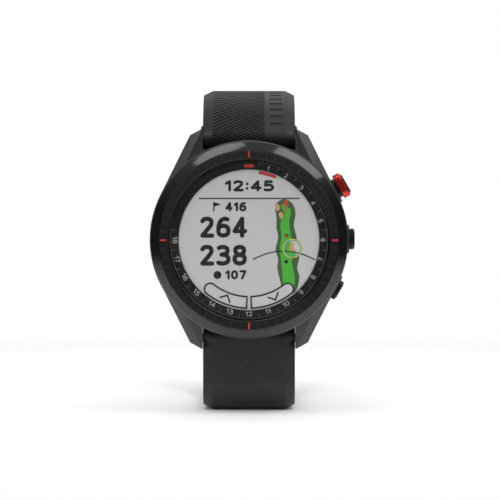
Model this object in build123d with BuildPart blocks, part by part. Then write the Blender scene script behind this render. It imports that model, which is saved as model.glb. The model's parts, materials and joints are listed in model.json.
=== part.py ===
from build123d import *
from math import cos, radians, sin
import os

# Golf GPS watch, unbuckled, standing on its lower strap with the dial upright.
# +X is the side with the buttons, +Y points from the dial towards the wrist, +Z is 12 o'clock.
# The origin is the middle of the flat stretch of lower strap that the watch stands on.
# Everything in the head is placed by its radius from the dial's centre line and by its
# height above the rear face of the sensor window.

os.makedirs("parts", exist_ok=True)

# ---------------------------------------------------------------- driving dimensions, mm
DIAL_Z = 41.3
REAR_Y = -11.56

CASE_R = 23.5
CASE_REAR_H = 1.4
CASE_FRONT_H = 12.2
CAVITY_R = 19.8
COVER_RECESS_R = 20.6
COVER_SEAT_H = 3.4
BEZEL_R = 23.3
BEZEL_TOP_H = 14.65
LENS_R = 18.95
LENS_H = 13.2
LENS_TOP_H = 14.4
LENS_SEAT_R = 18.7
DISPLAY_R = 17.4
DISPLAY_VISIBLE_R = 16.65

BOARD_H = 8.4
BOARD_T = 0.8
CHASSIS_TOP_H = 11.2

BUTTON_H = 7.2
BUTTON_TRAVEL = 0.5
STEM_R = 0.8
STEM_FIT = 0.05
SEAL_R = 1.35

STRAP_W = 22.0
STRAP_T = 2.8
STRAP_BEVEL_W = 2.2
STRAP_BEVEL_D = 1.1
LUG_GAP = 22.2
PIN_R = 1.1
PIN_FIT = 0.05
PIN_OFFSET = 23.8
PIN_H = 4.6
END_R = 2.6
HOOK_R = 1.75
HOOK_ROOM = 0.05
LATCH_TRAVEL = 1.4
MID_LINE_RISE = END_R - STRAP_T / 2

UPPER_START_DEG = 50
UPPER_START_RUN = 2.0
UPPER_ARC_R = 22.4
UPPER_END_DEG = -35
UPPER_STRAIGHT = 25.0

LOWER_START_DEG = 88
LOWER_HEEL_R = 6.0
FLAT_RUN = 22.0
LOWER_ARC_R = 42.0
LOWER_END_DEG = 75
TAIL_STRAIGHT = 6.0
TAIL_TIP = 7.0
HOLE_R = 1.2
HOLE_PITCH = 5.6
HOLE_COUNT = 9

BAR_R = 0.75
BAR_FROM_END = 1.0
BUCKLE_ARM_IN = STRAP_W / 2 + 0.3
BUCKLE_ARM_OUT = 13.3
BUCKLE_REACH = 12.6
BUCKLE_T = 2.4
PRONG_HALF_W = 1.3
PRONG_REST = BUCKLE_T / 2 + 0.02

# ---------------------------------------------------------------- planes
FACE = Plane(origin=(0, REAR_Y, DIAL_Z), x_dir=(1, 0, 0), z_dir=(0, -1, 0))
AXIAL = Plane(origin=(0, REAR_Y, DIAL_Z), x_dir=(1, 0, 0), z_dir=(0, 0, -1))
DIAL_AXIS = Axis((0, REAR_Y, DIAL_Z), (0, -1, 0))
SIDE = Plane(origin=(0, 0, 0), x_dir=(0, 1, 0), z_dir=(1, 0, 0))


def face(height):
    """Plane parallel to the dial: local x to the right, local y towards 12 o'clock."""
    return FACE.offset(height)


def turned(points):
    """Closed ring about the dial's axis from the corners (radius, height) of its section."""
    with BuildPart() as ring:
        with BuildSketch(AXIAL):
            Polygon(*points, align=None)
        revolve(axis=DIAL_AXIS)
    return ring.part


def radial(angle, radius):
    """Plane facing outwards at a clock angle: local x runs along the rim, local y forwards."""
    out = Vector(cos(radians(angle)), 0, sin(radians(angle)))
    along = (-sin(radians(angle)), 0, cos(radians(angle)))
    return Plane(origin=Vector(0, REAR_Y - BUTTON_H, DIAL_Z) + out * radius, x_dir=along, z_dir=out)


def at(radius, angle):
    """Local face coordinates of a point at a radius and an angle from 3 o'clock."""
    return (radius * cos(radians(angle)), radius * sin(radians(angle)))


def write(piece, label):
    piece.label = label
    export_step(piece, f"parts/{label}.step")


# ---------------------------------------------------------------- case body
# A turned barrel with four faceted lugs, three guarded button wells, bosses for the board
# and the back cover, and a round clearance between each pair of lugs for the strap's end.
LUG_TIP_IN = (LUG_GAP / 2, 26.3)
LUG_TIP_OUT = (14.05, 24.7)
LUG_TANGENT = (21.09, 10.36)
LUG_SLOPE = (0.4409, -0.8976)
LUG_RUN = 17.0
CREASE_END = (LUG_TIP_IN[0] + LUG_SLOPE[0] * LUG_RUN, LUG_TIP_IN[1] + LUG_SLOPE[1] * LUG_RUN)


def plane_through(first, second, third):
    """Plane through three points given in face coordinates, facing the front of the watch."""
    a, b, c = (FACE.from_local_coords(Vector(*point)) for point in (first, second, third))
    normal = (b - a).cross(c - a)
    if normal.Y > 0:
        normal = normal * -1
    return Plane(origin=a, x_dir=(b - a), z_dir=normal)


with BuildPart() as lug:
    with BuildSketch(face(CASE_REAR_H + 0.2)):
        Polygon(LUG_TIP_IN, LUG_TIP_OUT, LUG_TANGENT, (18.98, 10.09), (LUG_GAP / 2, 18.41), align=None)
    extrude(amount=10.6)
    split(bisect_by=plane_through((*LUG_TIP_IN, 8.0), (*CREASE_END, 11.9), (*LUG_TIP_OUT, 7.4)),
          keep=Keep.BOTTOM)
    split(bisect_by=plane_through((*LUG_TIP_IN, 8.0), (*CREASE_END, 11.9), (LUG_GAP / 2, 20.8, 8.3)),
          keep=Keep.BOTTOM)
    split(bisect_by=plane_through((0, 15, 1.6), (9, 15, 1.6), (0, 26.3, 3.4)), keep=Keep.TOP)

BUTTON_ANGLES = {"upper_button": 30, "middle_button": 0, "lower_button": -30}
NECK = {"upper_button": (4.8, 2.4), "middle_button": (5.0, 3.4), "lower_button": (4.8, 3.4)}
NECK_FIT = 0.2
NECK_IN_R = 23.4
WELL_FLOOR_R = NECK_IN_R - BUTTON_TRAVEL - 0.2
GUARD_R = 23.8
BOARD_BOSS_ANGLES = (60, 120, 240, 300)
BOARD_BOSS_R = 17.9
COVER_SCREW_ANGLES = (45, 135, 225, 315)
COVER_SCREW_R = 18.9

with BuildPart() as case_body:
    with BuildSketch(AXIAL):
        Polygon((COVER_RECESS_R, CASE_REAR_H), (22.3, CASE_REAR_H), (CASE_R, 2.8), (CASE_R, 11.9),
                (CASE_R - 0.3, CASE_FRONT_H), (CAVITY_R, CASE_FRONT_H), (CAVITY_R, COVER_SEAT_H),
                (COVER_RECESS_R, COVER_SEAT_H), align=None)
    revolve(axis=DIAL_AXIS)
    for upper_lug in (lug.part, mirror(lug.part, about=Plane.YZ, mode=Mode.PRIVATE)):
        add(upper_lug)
        add(mirror(upper_lug, about=Plane(origin=(0, 0, DIAL_Z), z_dir=(0, 0, 1)), mode=Mode.PRIVATE))
    for button, angle in BUTTON_ANGLES.items():
        with BuildSketch(radial(angle, 21.5)):
            RectangleRounded(6.7, 5.0, 1.6)
        extrude(amount=GUARD_R - 21.5)
    with BuildSketch(face(5.0)):
        for angle in BOARD_BOSS_ANGLES:
            with Locations(at(BOARD_BOSS_R, angle)):
                Circle(2.0)
    extrude(amount=BOARD_H - 5.0)
    with BuildSketch(face(COVER_SEAT_H)):
        for angle in COVER_SCREW_ANGLES:
            with Locations(at(COVER_SCREW_R, angle)):
                Circle(1.7)
    extrude(amount=3.2)
    # screw holes in the bosses
    with BuildSketch(face(5.0)):
        for angle in BOARD_BOSS_ANGLES:
            with Locations(at(BOARD_BOSS_R, angle)):
                Circle(0.6)
    extrude(amount=BOARD_H - 5.0, mode=Mode.SUBTRACT)
    with BuildSketch(face(COVER_SEAT_H)):
        for angle in COVER_SCREW_ANGLES:
            with Locations(at(COVER_SCREW_R, angle)):
                Circle(0.6)
    extrude(amount=2.8, mode=Mode.SUBTRACT)
    # a round clearance for each strap end, and the cross holes for the lug pins
    for pin_z in (DIAL_Z + PIN_OFFSET, DIAL_Z - PIN_OFFSET):
        with BuildSketch(SIDE):
            with Locations((REAR_Y - PIN_H, pin_z)):
                Circle(END_R + 0.4)
        extrude(amount=LUG_GAP / 2, both=True, mode=Mode.SUBTRACT)
        with BuildSketch(SIDE):
            with Locations((REAR_Y - PIN_H, pin_z)):
                Circle(PIN_R)
        extrude(amount=16, both=True, mode=Mode.SUBTRACT)
    # button wells: a pill-shaped well, a seal bore and a stem bore
    for button, angle in BUTTON_ANGLES.items():
        with BuildSketch(radial(angle, WELL_FLOOR_R)):
            SlotOverall(NECK[button][0] + NECK_FIT, NECK[button][1] + NECK_FIT)
        extrude(amount=2, mode=Mode.SUBTRACT)
        with BuildSketch(radial(angle, 20.5)):
            Circle(SEAL_R)
        extrude(amount=2.5, mode=Mode.SUBTRACT)
        with BuildSketch(radial(angle, 18)):
            Circle(STEM_R + STEM_FIT)
        extrude(amount=3, mode=Mode.SUBTRACT)
write(case_body.part, "case_body")

# ---------------------------------------------------------------- front: bezel, lens, display
# Ceramic bezel: polished outer bevel, a flatter satin track inside it, and a lip for the lens.
write(turned([(LENS_SEAT_R, CASE_FRONT_H), (BEZEL_R, CASE_FRONT_H), (BEZEL_R, 12.85), (23.12, 13.1),
              (21.3, BEZEL_TOP_H), (21.15, BEZEL_TOP_H), (21.05, 14.55), (19.25, 14.38),
              (19.05, 14.2), (19.05, 12.9), (LENS_SEAT_R, 12.9)]), "bezel")

write(turned([(0, LENS_H), (LENS_R, LENS_H), (LENS_R, 14.15), (18.7, LENS_TOP_H), (0, LENS_TOP_H)]),
      "lens")

write(turned([(LENS_SEAT_R, 12.9), (LENS_R, 12.9), (LENS_R, LENS_H), (LENS_SEAT_R, LENS_H)]),
      "lens_gasket")

# Flat ring around the display, under the lens, that carries the hole numbers.
write(turned([(DISPLAY_VISIBLE_R, 12.85), (18.65, 12.85), (18.65, 13.1), (DISPLAY_VISIBLE_R, 13.1)]),
      "number_ring")

write(turned([(DISPLAY_R + 0.1, CHASSIS_TOP_H), (18.65, CHASSIS_TOP_H), (18.65, 12.85),
              (DISPLAY_R + 0.1, 12.85)]), "display_frame")

write(turned([(0, 11.9), (DISPLAY_R, 11.9), (DISPLAY_R, 12.7), (0, 12.7)]), "display_panel")

FLEX_Y = -16.6
FLEX_W = 6.0
with BuildPart() as backlight:
    with BuildSketch(face(CHASSIS_TOP_H)):
        Circle(DISPLAY_R)
        with Locations((0, FLEX_Y + 0.3)):
            Rectangle(FLEX_W + 0.6, 3.0, mode=Mode.SUBTRACT)
    extrude(amount=0.6)
write(backlight.part, "backlight")

# ---------------------------------------------------------------- chassis, board and what is on it
CHASSIS_RIM_R = 15.4

with BuildPart() as chassis:
    with BuildSketch(AXIAL):
        Polygon((0, 10.7), (CHASSIS_RIM_R, 10.7), (CHASSIS_RIM_R, BOARD_H + BOARD_T),
                (19.5, BOARD_H + BOARD_T), (19.5, CHASSIS_TOP_H), (0, CHASSIS_TOP_H), align=None)
    revolve(axis=DIAL_AXIS)
    with BuildSketch(face(10.2)):
        for angle in BOARD_BOSS_ANGLES:
            with Locations(at(BOARD_BOSS_R, angle)):
                Circle(1.3)
    extrude(amount=2, mode=Mode.SUBTRACT)
    with BuildSketch(face(9)):
        for angle in BOARD_BOSS_ANGLES:
            with Locations(at(BOARD_BOSS_R, angle)):
                Circle(0.65)
        with Locations((0, FLEX_Y + 0.6)):
            Rectangle(FLEX_W + 0.6, 2.3)
    extrude(amount=3, mode=Mode.SUBTRACT)
write(chassis.part, "chassis")

with BuildPart() as main_board:
    with BuildSketch(face(BOARD_H)):
        Circle(19.0)
        for angle in BOARD_BOSS_ANGLES:
            with Locations(at(BOARD_BOSS_R, angle)):
                Circle(0.65, mode=Mode.SUBTRACT)
    extrude(amount=BOARD_T)
write(main_board.part, "main_board")

with BuildPart() as shield_cans:
    with BuildSketch(face(BOARD_H + BOARD_T)):
        with Locations((-5.5, 1.5)):
            RectangleRounded(13, 11, 0.5)
        with Locations((7.5, -5.5)):
            RectangleRounded(9, 9, 0.5)
    extrude(amount=1.3)
write(shield_cans.part, "shield_cans")

with BuildPart() as gps_antenna:
    with BuildSketch(face(BOARD_H + BOARD_T)):
        with Locations((6.0, 5.5)):
            RectangleRounded(9.0, 9.0, 0.8)
    extrude(amount=1.4)
write(gps_antenna.part, "gps_antenna")

with BuildPart() as display_flex:
    with BuildSketch(Plane.YZ.offset(-FLEX_W / 2)):
        with BuildLine():
            Polyline(*[(REAR_Y - height, DIAL_Z + FLEX_Y + offset) for offset, height in
                       ((1.6, 11.85), (-0.1, 11.85), (-0.1, 9.25), (1.6, 9.25), (1.6, 9.4), (0.1, 9.4),
                        (0.1, 11.7), (1.6, 11.7))], close=True)
        make_face()
    extrude(amount=FLEX_W)
write(display_flex.part, "display_flex")

with BuildPart() as chassis_screws:
    for angle in BOARD_BOSS_ANGLES:
        with BuildSketch(face(10.2)):
            with Locations(at(BOARD_BOSS_R, angle)):
                Circle(1.15)
        extrude(amount=0.7)
        with BuildSketch(face(6.0)):
            with Locations(at(BOARD_BOSS_R, angle)):
                Circle(0.58)
        extrude(amount=4.2)
        with BuildSketch(face(10.5)):
            with Locations(at(BOARD_BOSS_R, angle)):
                RegularPolygon(0.5, 6)
        extrude(amount=0.5, mode=Mode.SUBTRACT)
write(chassis_screws.part, "chassis_screws")

with BuildPart() as battery:
    with BuildSketch(face(4.0)):
        with Locations((-3.5, 0)):
            RectangleRounded(23, 21.6, 1.5)
    extrude(amount=3.6)
    fillet(battery.edges().filter_by(GeomType.LINE).group_by(Axis.Y)[0], 0.6)
write(battery.part, "battery")

with BuildPart() as vibration_motor:
    with BuildSketch(face(4.0)):
        with Locations((12.2, 0)):
            Circle(3.5)
    extrude(amount=2.7)
write(vibration_motor.part, "vibration_motor")

# One press switch inside each button, hung under the board, with its plunger facing the stem.
SWITCH_FACE_R = 18.3
with BuildPart() as button_switches:
    for angle in BUTTON_ANGLES.values():
        with BuildSketch(radial(angle, 16.9)):
            with Locations((0, 0)):
                Rectangle(3.6, 2 * (BOARD_H - BUTTON_H))
        extrude(amount=SWITCH_FACE_R - 16.9)
        with BuildSketch(radial(angle, SWITCH_FACE_R)):
            Circle(0.6)
        extrude(amount=0.2)
write(button_switches.part, "button_switches")

# ---------------------------------------------------------------- buttons
# Each button is a cap and a stem with a pill-shaped neck, an O-ring and a retaining clip.
STEM_IN_R = 19.05
CAP_IN_R = {"upper_button": 24.6, "middle_button": 24.0, "lower_button": 24.0}
CAP_OUT_R = {"upper_button": 26.35, "middle_button": 25.1, "lower_button": 24.9}
CAP_SIZE = {"upper_button": (6.1, 3.6), "middle_button": (5.0, 3.4), "lower_button": (4.8, 3.4)}
CLIP_IN_R = 19.35
CLIP_R = 1.1
CLIP_T = 0.25
CLIP_GROOVE_R = 0.55

for button, angle in BUTTON_ANGLES.items():
    with BuildPart() as stem:
        with BuildSketch(radial(angle, STEM_IN_R)):
            Circle(STEM_R)
        extrude(amount=NECK_IN_R - STEM_IN_R)
        with BuildSketch(radial(angle, NECK_IN_R)):
            SlotOverall(*NECK[button])
        extrude(amount=CAP_IN_R[button] - NECK_IN_R)
        with BuildSketch(radial(angle, CLIP_IN_R)):
            Circle(STEM_R)
            Circle(CLIP_GROOVE_R, mode=Mode.SUBTRACT)
        extrude(amount=CLIP_T, mode=Mode.SUBTRACT)
    write(stem.part, f"{button}_stem")

    with BuildPart() as cap:
        with BuildSketch(radial(angle, CAP_IN_R[button])):
            SlotOverall(*CAP_SIZE[button])
        extrude(amount=CAP_OUT_R[button] - CAP_IN_R[button])
        fillet(cap.faces().sort_by(Axis((0, 0, 0), radial(angle, 0).z_dir))[-1].edges(), 0.4)
        if button == "upper_button":
            with BuildSketch(radial(angle, CAP_OUT_R[button] - 0.45)):
                SlotOverall(4.9, 2.4)
            extrude(amount=1, mode=Mode.SUBTRACT)
    write(cap.part, f"{button}_cap")

    with BuildPart() as seal:
        with BuildSketch(radial(angle, 21.6)):
            Circle(SEAL_R - STEM_FIT)
            Circle(STEM_R, mode=Mode.SUBTRACT)
        extrude(amount=0.6)
    write(seal.part, f"{button}_seal")

    with BuildPart() as clip:
        with BuildSketch(radial(angle, CLIP_IN_R)):
            Circle(CLIP_R)
            Circle(CLIP_GROOVE_R, mode=Mode.SUBTRACT)
            with Locations((0, -1)):
                Rectangle(0.8, 2, mode=Mode.SUBTRACT)
        extrude(amount=CLIP_T)
    write(clip.part, f"{button}_clip")

with BuildPart() as insert:
    with BuildSketch(radial(30, CAP_OUT_R["upper_button"] - 0.45)):
        SlotOverall(4.8, 2.3)
    extrude(amount=0.8)
    fillet(insert.faces().sort_by(Axis((0, 0, 0), radial(30, 0).z_dir))[-1].edges(), 0.25)
write(insert.part, "upper_button_insert")

# ---------------------------------------------------------------- rear: cover, sensor, contacts
PORT_Y = -14.6
PORT_SIZE = (9.0, 4.4)
PIN_PITCH = 1.9
WINDOW_R = 8.0

with BuildPart() as back_cover:
    with BuildSketch(AXIAL):
        Polygon((6.6, 1.3), (WINDOW_R + 0.05, 1.3), (WINDOW_R + 0.05, 0.45), (9.6, 0.45), (10.6, 1.0),
                (19.9, 1.0), (20.4, 1.5), (20.4, 2.8), (6.6, 2.8), align=None)
    revolve(axis=DIAL_AXIS)
    with BuildSketch(face(0)):
        with Locations((0, PORT_Y)):
            RectangleRounded(*PORT_SIZE, 1.0)
    extrude(amount=2.1, mode=Mode.SUBTRACT)
    with BuildSketch(face(0)):
        with Locations((0, PORT_Y)):
            with GridLocations(PIN_PITCH, 1, 4, 1):
                Circle(0.5)
        for angle in COVER_SCREW_ANGLES:
            with Locations(at(COVER_SCREW_R, angle)):
                Circle(0.65)
    extrude(amount=4, mode=Mode.SUBTRACT)
    with BuildSketch(face(0)):
        for angle in COVER_SCREW_ANGLES:
            with Locations(at(COVER_SCREW_R, angle)):
                Circle(1.15)
    extrude(amount=1.8, mode=Mode.SUBTRACT)
write(back_cover.part, "back_cover")

with BuildPart() as back_screws:
    for angle in COVER_SCREW_ANGLES:
        with BuildSketch(face(1.1)):
            with Locations(at(COVER_SCREW_R, angle)):
                Circle(1.1)
        extrude(amount=0.7)
        with BuildSketch(face(1.8)):
            with Locations(at(COVER_SCREW_R, angle)):
                Circle(0.58)
        extrude(amount=4.0)
        with BuildSketch(face(1.1)):
            with Locations(at(COVER_SCREW_R, angle)):
                RegularPolygon(0.55, 6)
        extrude(amount=0.4, mode=Mode.SUBTRACT)
write(back_screws.part, "back_screws")

with BuildPart() as back_gasket:
    with BuildSketch(face(2.8)):
        Circle(20.5)
        Circle(CAVITY_R, mode=Mode.SUBTRACT)
        for angle in COVER_SCREW_ANGLES:
            with Locations(at(COVER_SCREW_R, angle)):
                Circle(1.0, mode=Mode.SUBTRACT)
    extrude(amount=COVER_SEAT_H - 2.8)
write(back_gasket.part, "back_gasket")

write(turned([(0, 0), (5.5, 0), (WINDOW_R - 0.4, 0.35), (WINDOW_R, 0.6), (WINDOW_R, 1.3), (0, 1.3)]),
      "sensor_window")

write(turned([(0, 2.9), (7.2, 2.9), (7.2, 3.6), (0, 3.6)]), "sensor_board")

with BuildPart() as sensor_leds:
    with BuildSketch(face(1.9)):
        Rectangle(1.8, 1.8)
        with PolarLocations(4.2, 4, 45):
            Rectangle(2.4, 1.4)
        with PolarLocations(4.2, 4):
            Rectangle(1.6, 1.6)
    extrude(amount=1.0)
write(sensor_leds.part, "sensor_leds")

with BuildPart() as charge_contacts:
    with BuildSketch(face(1.5)):
        with Locations((0, PORT_Y)):
            with GridLocations(PIN_PITCH, 1, 4, 1):
                Circle(0.48)
    extrude(amount=1.9)
write(charge_contacts.part, "charge_contacts")

# ---------------------------------------------------------------- lug pins and their screws
SCREW_HEAD_X = 12.6
for label, pin_z in (("upper_lug_pin", DIAL_Z + PIN_OFFSET), ("lower_lug_pin", DIAL_Z - PIN_OFFSET)):
    with BuildPart() as pin:
        with BuildSketch(SIDE):
            with Locations((REAR_Y - PIN_H, pin_z)):
                Circle(PIN_R)
        extrude(amount=SCREW_HEAD_X, both=True)
        for end in (-1, 1):
            with BuildSketch(SIDE.offset(end * SCREW_HEAD_X)):
                with Locations((REAR_Y - PIN_H, pin_z)):
                    Circle(0.6)
            extrude(amount=-end * 2.2, mode=Mode.SUBTRACT)
    write(pin.part, label)

with BuildPart() as lug_screws:
    for pin_z in (DIAL_Z + PIN_OFFSET, DIAL_Z - PIN_OFFSET):
        for end in (-1, 1):
            with BuildSketch(SIDE.offset(end * SCREW_HEAD_X)):
                with Locations((REAR_Y - PIN_H, pin_z)):
                    Circle(PIN_R - 0.02)
            extrude(amount=end * 1.0)
            with BuildSketch(SIDE.offset(end * SCREW_HEAD_X)):
                with Locations((REAR_Y - PIN_H, pin_z)):
                    Circle(0.58)
            extrude(amount=-end * 2.0)
            with BuildSketch(SIDE.offset(end * (SCREW_HEAD_X + 0.4))):
                with Locations((REAR_Y - PIN_H, pin_z)):
                    RegularPolygon(0.6, 6)
            extrude(amount=end, mode=Mode.SUBTRACT)
write(lug_screws.part, "lug_screws")

# ---------------------------------------------------------------- strap frames
# Each strap starts at its lug pin. Along the strap is t, and rise is the outward normal.


class StrapFrame:
    """Side-view frame at a point of a strap: along the strap, and outwards from the wrist."""

    def __init__(self, y, z, direction_deg, outward_sign):
        self.y, self.z = y, z
        self.along = (cos(radians(direction_deg)), sin(radians(direction_deg)))
        self.out = (-self.along[1] * outward_sign, self.along[0] * outward_sign)

    def at(self, t, rise):
        """Side-view coordinates (y, z) of a point t along the strap and rise outwards."""
        return (self.y + self.along[0] * t + self.out[0] * rise,
                self.z + self.along[1] * t + self.out[1] * rise)

    def plane(self, t, rise):
        """Plane across the strap at a point: local x is world X, local y is outwards."""
        y, z = self.at(t, rise)
        normal = Vector(0, *self.along)
        x_dir = Vector(0, *self.out).cross(normal)
        return Plane(origin=(0, y, z), x_dir=x_dir, z_dir=normal)

    def surface(self, t, rise):
        """Plane facing outwards from the strap at a point: local x is along the strap."""
        y, z = self.at(t, rise)
        return Plane(origin=(0, y, z), x_dir=(0, *self.along), z_dir=(0, *self.out))


UPPER_PIN = StrapFrame(REAR_Y - PIN_H, DIAL_Z + PIN_OFFSET, UPPER_START_DEG, 1)
LOWER_PIN = StrapFrame(REAR_Y - PIN_H, DIAL_Z - PIN_OFFSET, -LOWER_START_DEG, -1)


def strap_section(frame):
    """Cross-section of the strap, with its two outer edges bevelled."""
    half_w, half_t = STRAP_W / 2, STRAP_T / 2
    with BuildSketch(frame.plane(0, MID_LINE_RISE)) as section:
        Polygon((-half_w, -half_t), (half_w, -half_t), (half_w, half_t - STRAP_BEVEL_D),
                (half_w - STRAP_BEVEL_W, half_t), (-half_w + STRAP_BEVEL_W, half_t),
                (-half_w, half_t - STRAP_BEVEL_D), align=None)
    return section.sketch


HOOK_TANG_END = 6.5
HOOK_TANG_HALF_T = 0.35
LATCH_TOP = -1.3
LATCH_BOTTOM = -2.15
LATCH_SPAN = (-1.5, 5.2)
LATCH_POCKET_T = LATCH_SPAN[1] + LATCH_TRAVEL + 0.4
LATCH_HALF_W = 8.0


def slab(frame, first_t, last_t, low, high):
    """Side outline between two distances along a strap and two rises from it."""
    with BuildSketch(SIDE) as outline:
        Polygon(frame.at(first_t, low), frame.at(last_t, low), frame.at(last_t, high),
                frame.at(first_t, high), align=None)
    return outline.sketch


def tang(frame):
    """Side outline of the hook's tang, and of the slot that it sits in."""
    return slab(frame, 0, HOOK_TANG_END, -HOOK_TANG_HALF_T, HOOK_TANG_HALF_T)


def disc(frame, t, radius):
    """Side outline of a round centred on the strap's line."""
    with BuildSketch(SIDE) as outline:
        with Locations(frame.at(t, 0)):
            Circle(radius)
    return outline.sketch


def end_solid(frame):
    """The thick end of a strap around the lug pin."""
    with BuildPart() as piece:
        with BuildSketch(SIDE):
            Polygon(frame.at(0, 1.2), frame.at(0, -2.2), frame.at(7.2, -2.2), frame.at(9.0, -1.4),
                    frame.at(8.5, 0.3), align=None)
        extrude(amount=STRAP_W / 2, both=True)
        extrude(disc(frame, 0, END_R), amount=STRAP_W / 2, both=True)
    return piece.part


def end_room(frame):
    """The space inside a strap's thick end for the hook, its tang and the sliding latch."""
    with BuildPart() as piece:
        extrude(disc(frame, 0, HOOK_R + HOOK_ROOM), amount=STRAP_W, both=True)
        extrude(slab(frame, -END_R - 1, HOOK_R + HOOK_ROOM, -4, -0.9), amount=STRAP_W, both=True)
        extrude(slab(frame, -END_R - 1, LATCH_POCKET_T, -4, LATCH_TOP + 0.05),
                amount=LATCH_HALF_W + 0.2, both=True)
        extrude(tang(frame), amount=LATCH_HALF_W, both=True)
    return piece.part


def hook(frame):
    """Steel hook around the lug pin, open towards the wrist, with a tang set in the strap."""
    with BuildPart() as piece:
        extrude(disc(frame, 0, HOOK_R), amount=10.7, both=True)
        extrude(tang(frame), amount=LATCH_HALF_W, both=True)
        extrude(disc(frame, 0, PIN_R + PIN_FIT), amount=STRAP_W, both=True, mode=Mode.SUBTRACT)
        extrude(slab(frame, -PIN_R - PIN_FIT, PIN_R + PIN_FIT, -4, -0.4), amount=STRAP_W, both=True,
                mode=Mode.SUBTRACT)
        extrude(slab(frame, -HOOK_R, HOOK_R, -4, LATCH_TOP + 0.1), amount=STRAP_W, both=True,
                mode=Mode.SUBTRACT)
    return piece.part


def latch(frame):
    """Sliding latch that shuts the hook's mouth, with a ridged thumb tab on the wrist side."""
    with BuildPart() as piece:
        extrude(slab(frame, *LATCH_SPAN, LATCH_BOTTOM, LATCH_TOP), amount=LATCH_HALF_W, both=True)
        extrude(slab(frame, 1.6, 5.0, -2.9, LATCH_BOTTOM), amount=4.5, both=True)
        for ridge in range(4):
            extrude(slab(frame, 1.9 + 0.8 * ridge, 2.3 + 0.8 * ridge, -4, -2.65), amount=5, both=True,
                    mode=Mode.SUBTRACT)
    return piece.part


# ---------------------------------------------------------------- upper strap, with the buckle
with BuildPart() as upper_strap:
    with BuildLine(SIDE) as upper_line:
        first = Line(UPPER_PIN.at(0, MID_LINE_RISE), UPPER_PIN.at(UPPER_START_RUN, MID_LINE_RISE))
        bend = JernArc(first @ 1, first % 1, UPPER_ARC_R, UPPER_END_DEG - UPPER_START_DEG)
        PolarLine(bend @ 1, UPPER_STRAIGHT, UPPER_END_DEG)
    sweep(strap_section(UPPER_PIN), path=upper_line.line)
    add(end_solid(UPPER_PIN))
    add(end_room(UPPER_PIN), mode=Mode.SUBTRACT)
    run_end = upper_line.line @ 1
    RUN = StrapFrame(run_end.Y, run_end.Z, UPPER_END_DEG, 1)
    # a rounded eye for the buckle bar, notched for the prong
    with BuildSketch(SIDE):
        with Locations(RUN.at(BAR_FROM_END, 0)):
            Circle(1.7)
        Polygon(RUN.at(-2, -1.4), RUN.at(1, -1.7), RUN.at(1, 1.7), RUN.at(-2, 1.4), align=None)
    extrude(amount=STRAP_W / 2, both=True)
    extrude(disc(RUN, BAR_FROM_END, BAR_R), amount=STRAP_W, both=True, mode=Mode.SUBTRACT)
    extrude(slab(RUN, BAR_FROM_END - 2.2, 5, -4, 4), amount=PRONG_HALF_W + 0.4, both=True,
            mode=Mode.SUBTRACT)
write(upper_strap.part, "upper_strap")
write(hook(UPPER_PIN), "upper_strap_hook")
write(latch(UPPER_PIN), "upper_latch")

with BuildPart() as buckle_bar:
    extrude(disc(RUN, BAR_FROM_END, BAR_R), amount=BUCKLE_ARM_OUT - 0.8, both=True)
write(buckle_bar.part, "buckle_bar")

with BuildPart() as buckle_frame:
    with BuildSketch(RUN.surface(BAR_FROM_END, -BUCKLE_T / 2)):
        with Locations((BUCKLE_REACH / 2 - 0.9, 0)):
            RectangleRounded(BUCKLE_REACH + 1.8, 2 * BUCKLE_ARM_OUT, 2.2)
        with Locations((BUCKLE_REACH / 2 - 2.6, 0)):
            RectangleRounded(BUCKLE_REACH + 0.4, 2 * BUCKLE_ARM_IN, 1.0, mode=Mode.SUBTRACT)
        with Locations((-2.6, 0)):
            Rectangle(2.4, 2 * BUCKLE_ARM_IN, mode=Mode.SUBTRACT)
    extrude(amount=BUCKLE_T)
    extrude(disc(RUN, BAR_FROM_END, BAR_R + PIN_FIT), amount=BUCKLE_ARM_OUT - 0.75, both=True,
            mode=Mode.SUBTRACT)
write(buckle_frame.part, "buckle_frame")

with BuildPart() as buckle_prong:
    with BuildSketch(SIDE):
        with Locations(RUN.at(BAR_FROM_END, 0)):
            Circle(1.5)
        Polygon(*[RUN.at(BAR_FROM_END + t, rise) for t, rise in
                  ((0, 0.6), (3, PRONG_REST), (12.2, PRONG_REST), (12.2, 1.7), (9, 2.2), (2, 2.2), (0, 1.5))],
                align=None)
    extrude(amount=PRONG_HALF_W, both=True)
    extrude(disc(RUN, BAR_FROM_END, BAR_R + PIN_FIT), amount=PRONG_HALF_W, both=True, mode=Mode.SUBTRACT)
write(buckle_prong.part, "buckle_prong")

# Two loops on the straight stretch: one is fixed by the buckle and the other slides.
KEEPER_ROOM = 0.15
KEEPER_WALL = 1.1
KEEPER_OUTER = 4.4
for label, centre_t, width in (("fixed_keeper", -4.6, 4.4), ("free_keeper", -10.2, 4.4)):
    snug = 0 if label == "fixed_keeper" else KEEPER_ROOM
    inner_half_w = STRAP_W / 2 + snug
    inner_low = -STRAP_T / 2 - snug
    with BuildPart() as keeper:
        with BuildSketch(RUN.plane(centre_t - width / 2, 0)):
            with Locations((0, (inner_low + KEEPER_OUTER) / 2)):
                RectangleRounded(2 * (inner_half_w + KEEPER_WALL),
                                 KEEPER_OUTER - inner_low + 2 * KEEPER_WALL, 1.2)
                Rectangle(2 * inner_half_w, KEEPER_OUTER - inner_low, mode=Mode.SUBTRACT)
        extrude(amount=width)
    write(keeper.part, label)

# ---------------------------------------------------------------- lower strap, with its holes
heel_drop = LOWER_HEEL_R * (1 - cos(radians(LOWER_START_DEG)))
start_z = LOWER_PIN.at(0, MID_LINE_RISE)[1]
lower_start_run = (start_z - STRAP_T / 2 - heel_drop) / sin(radians(LOWER_START_DEG))

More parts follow.
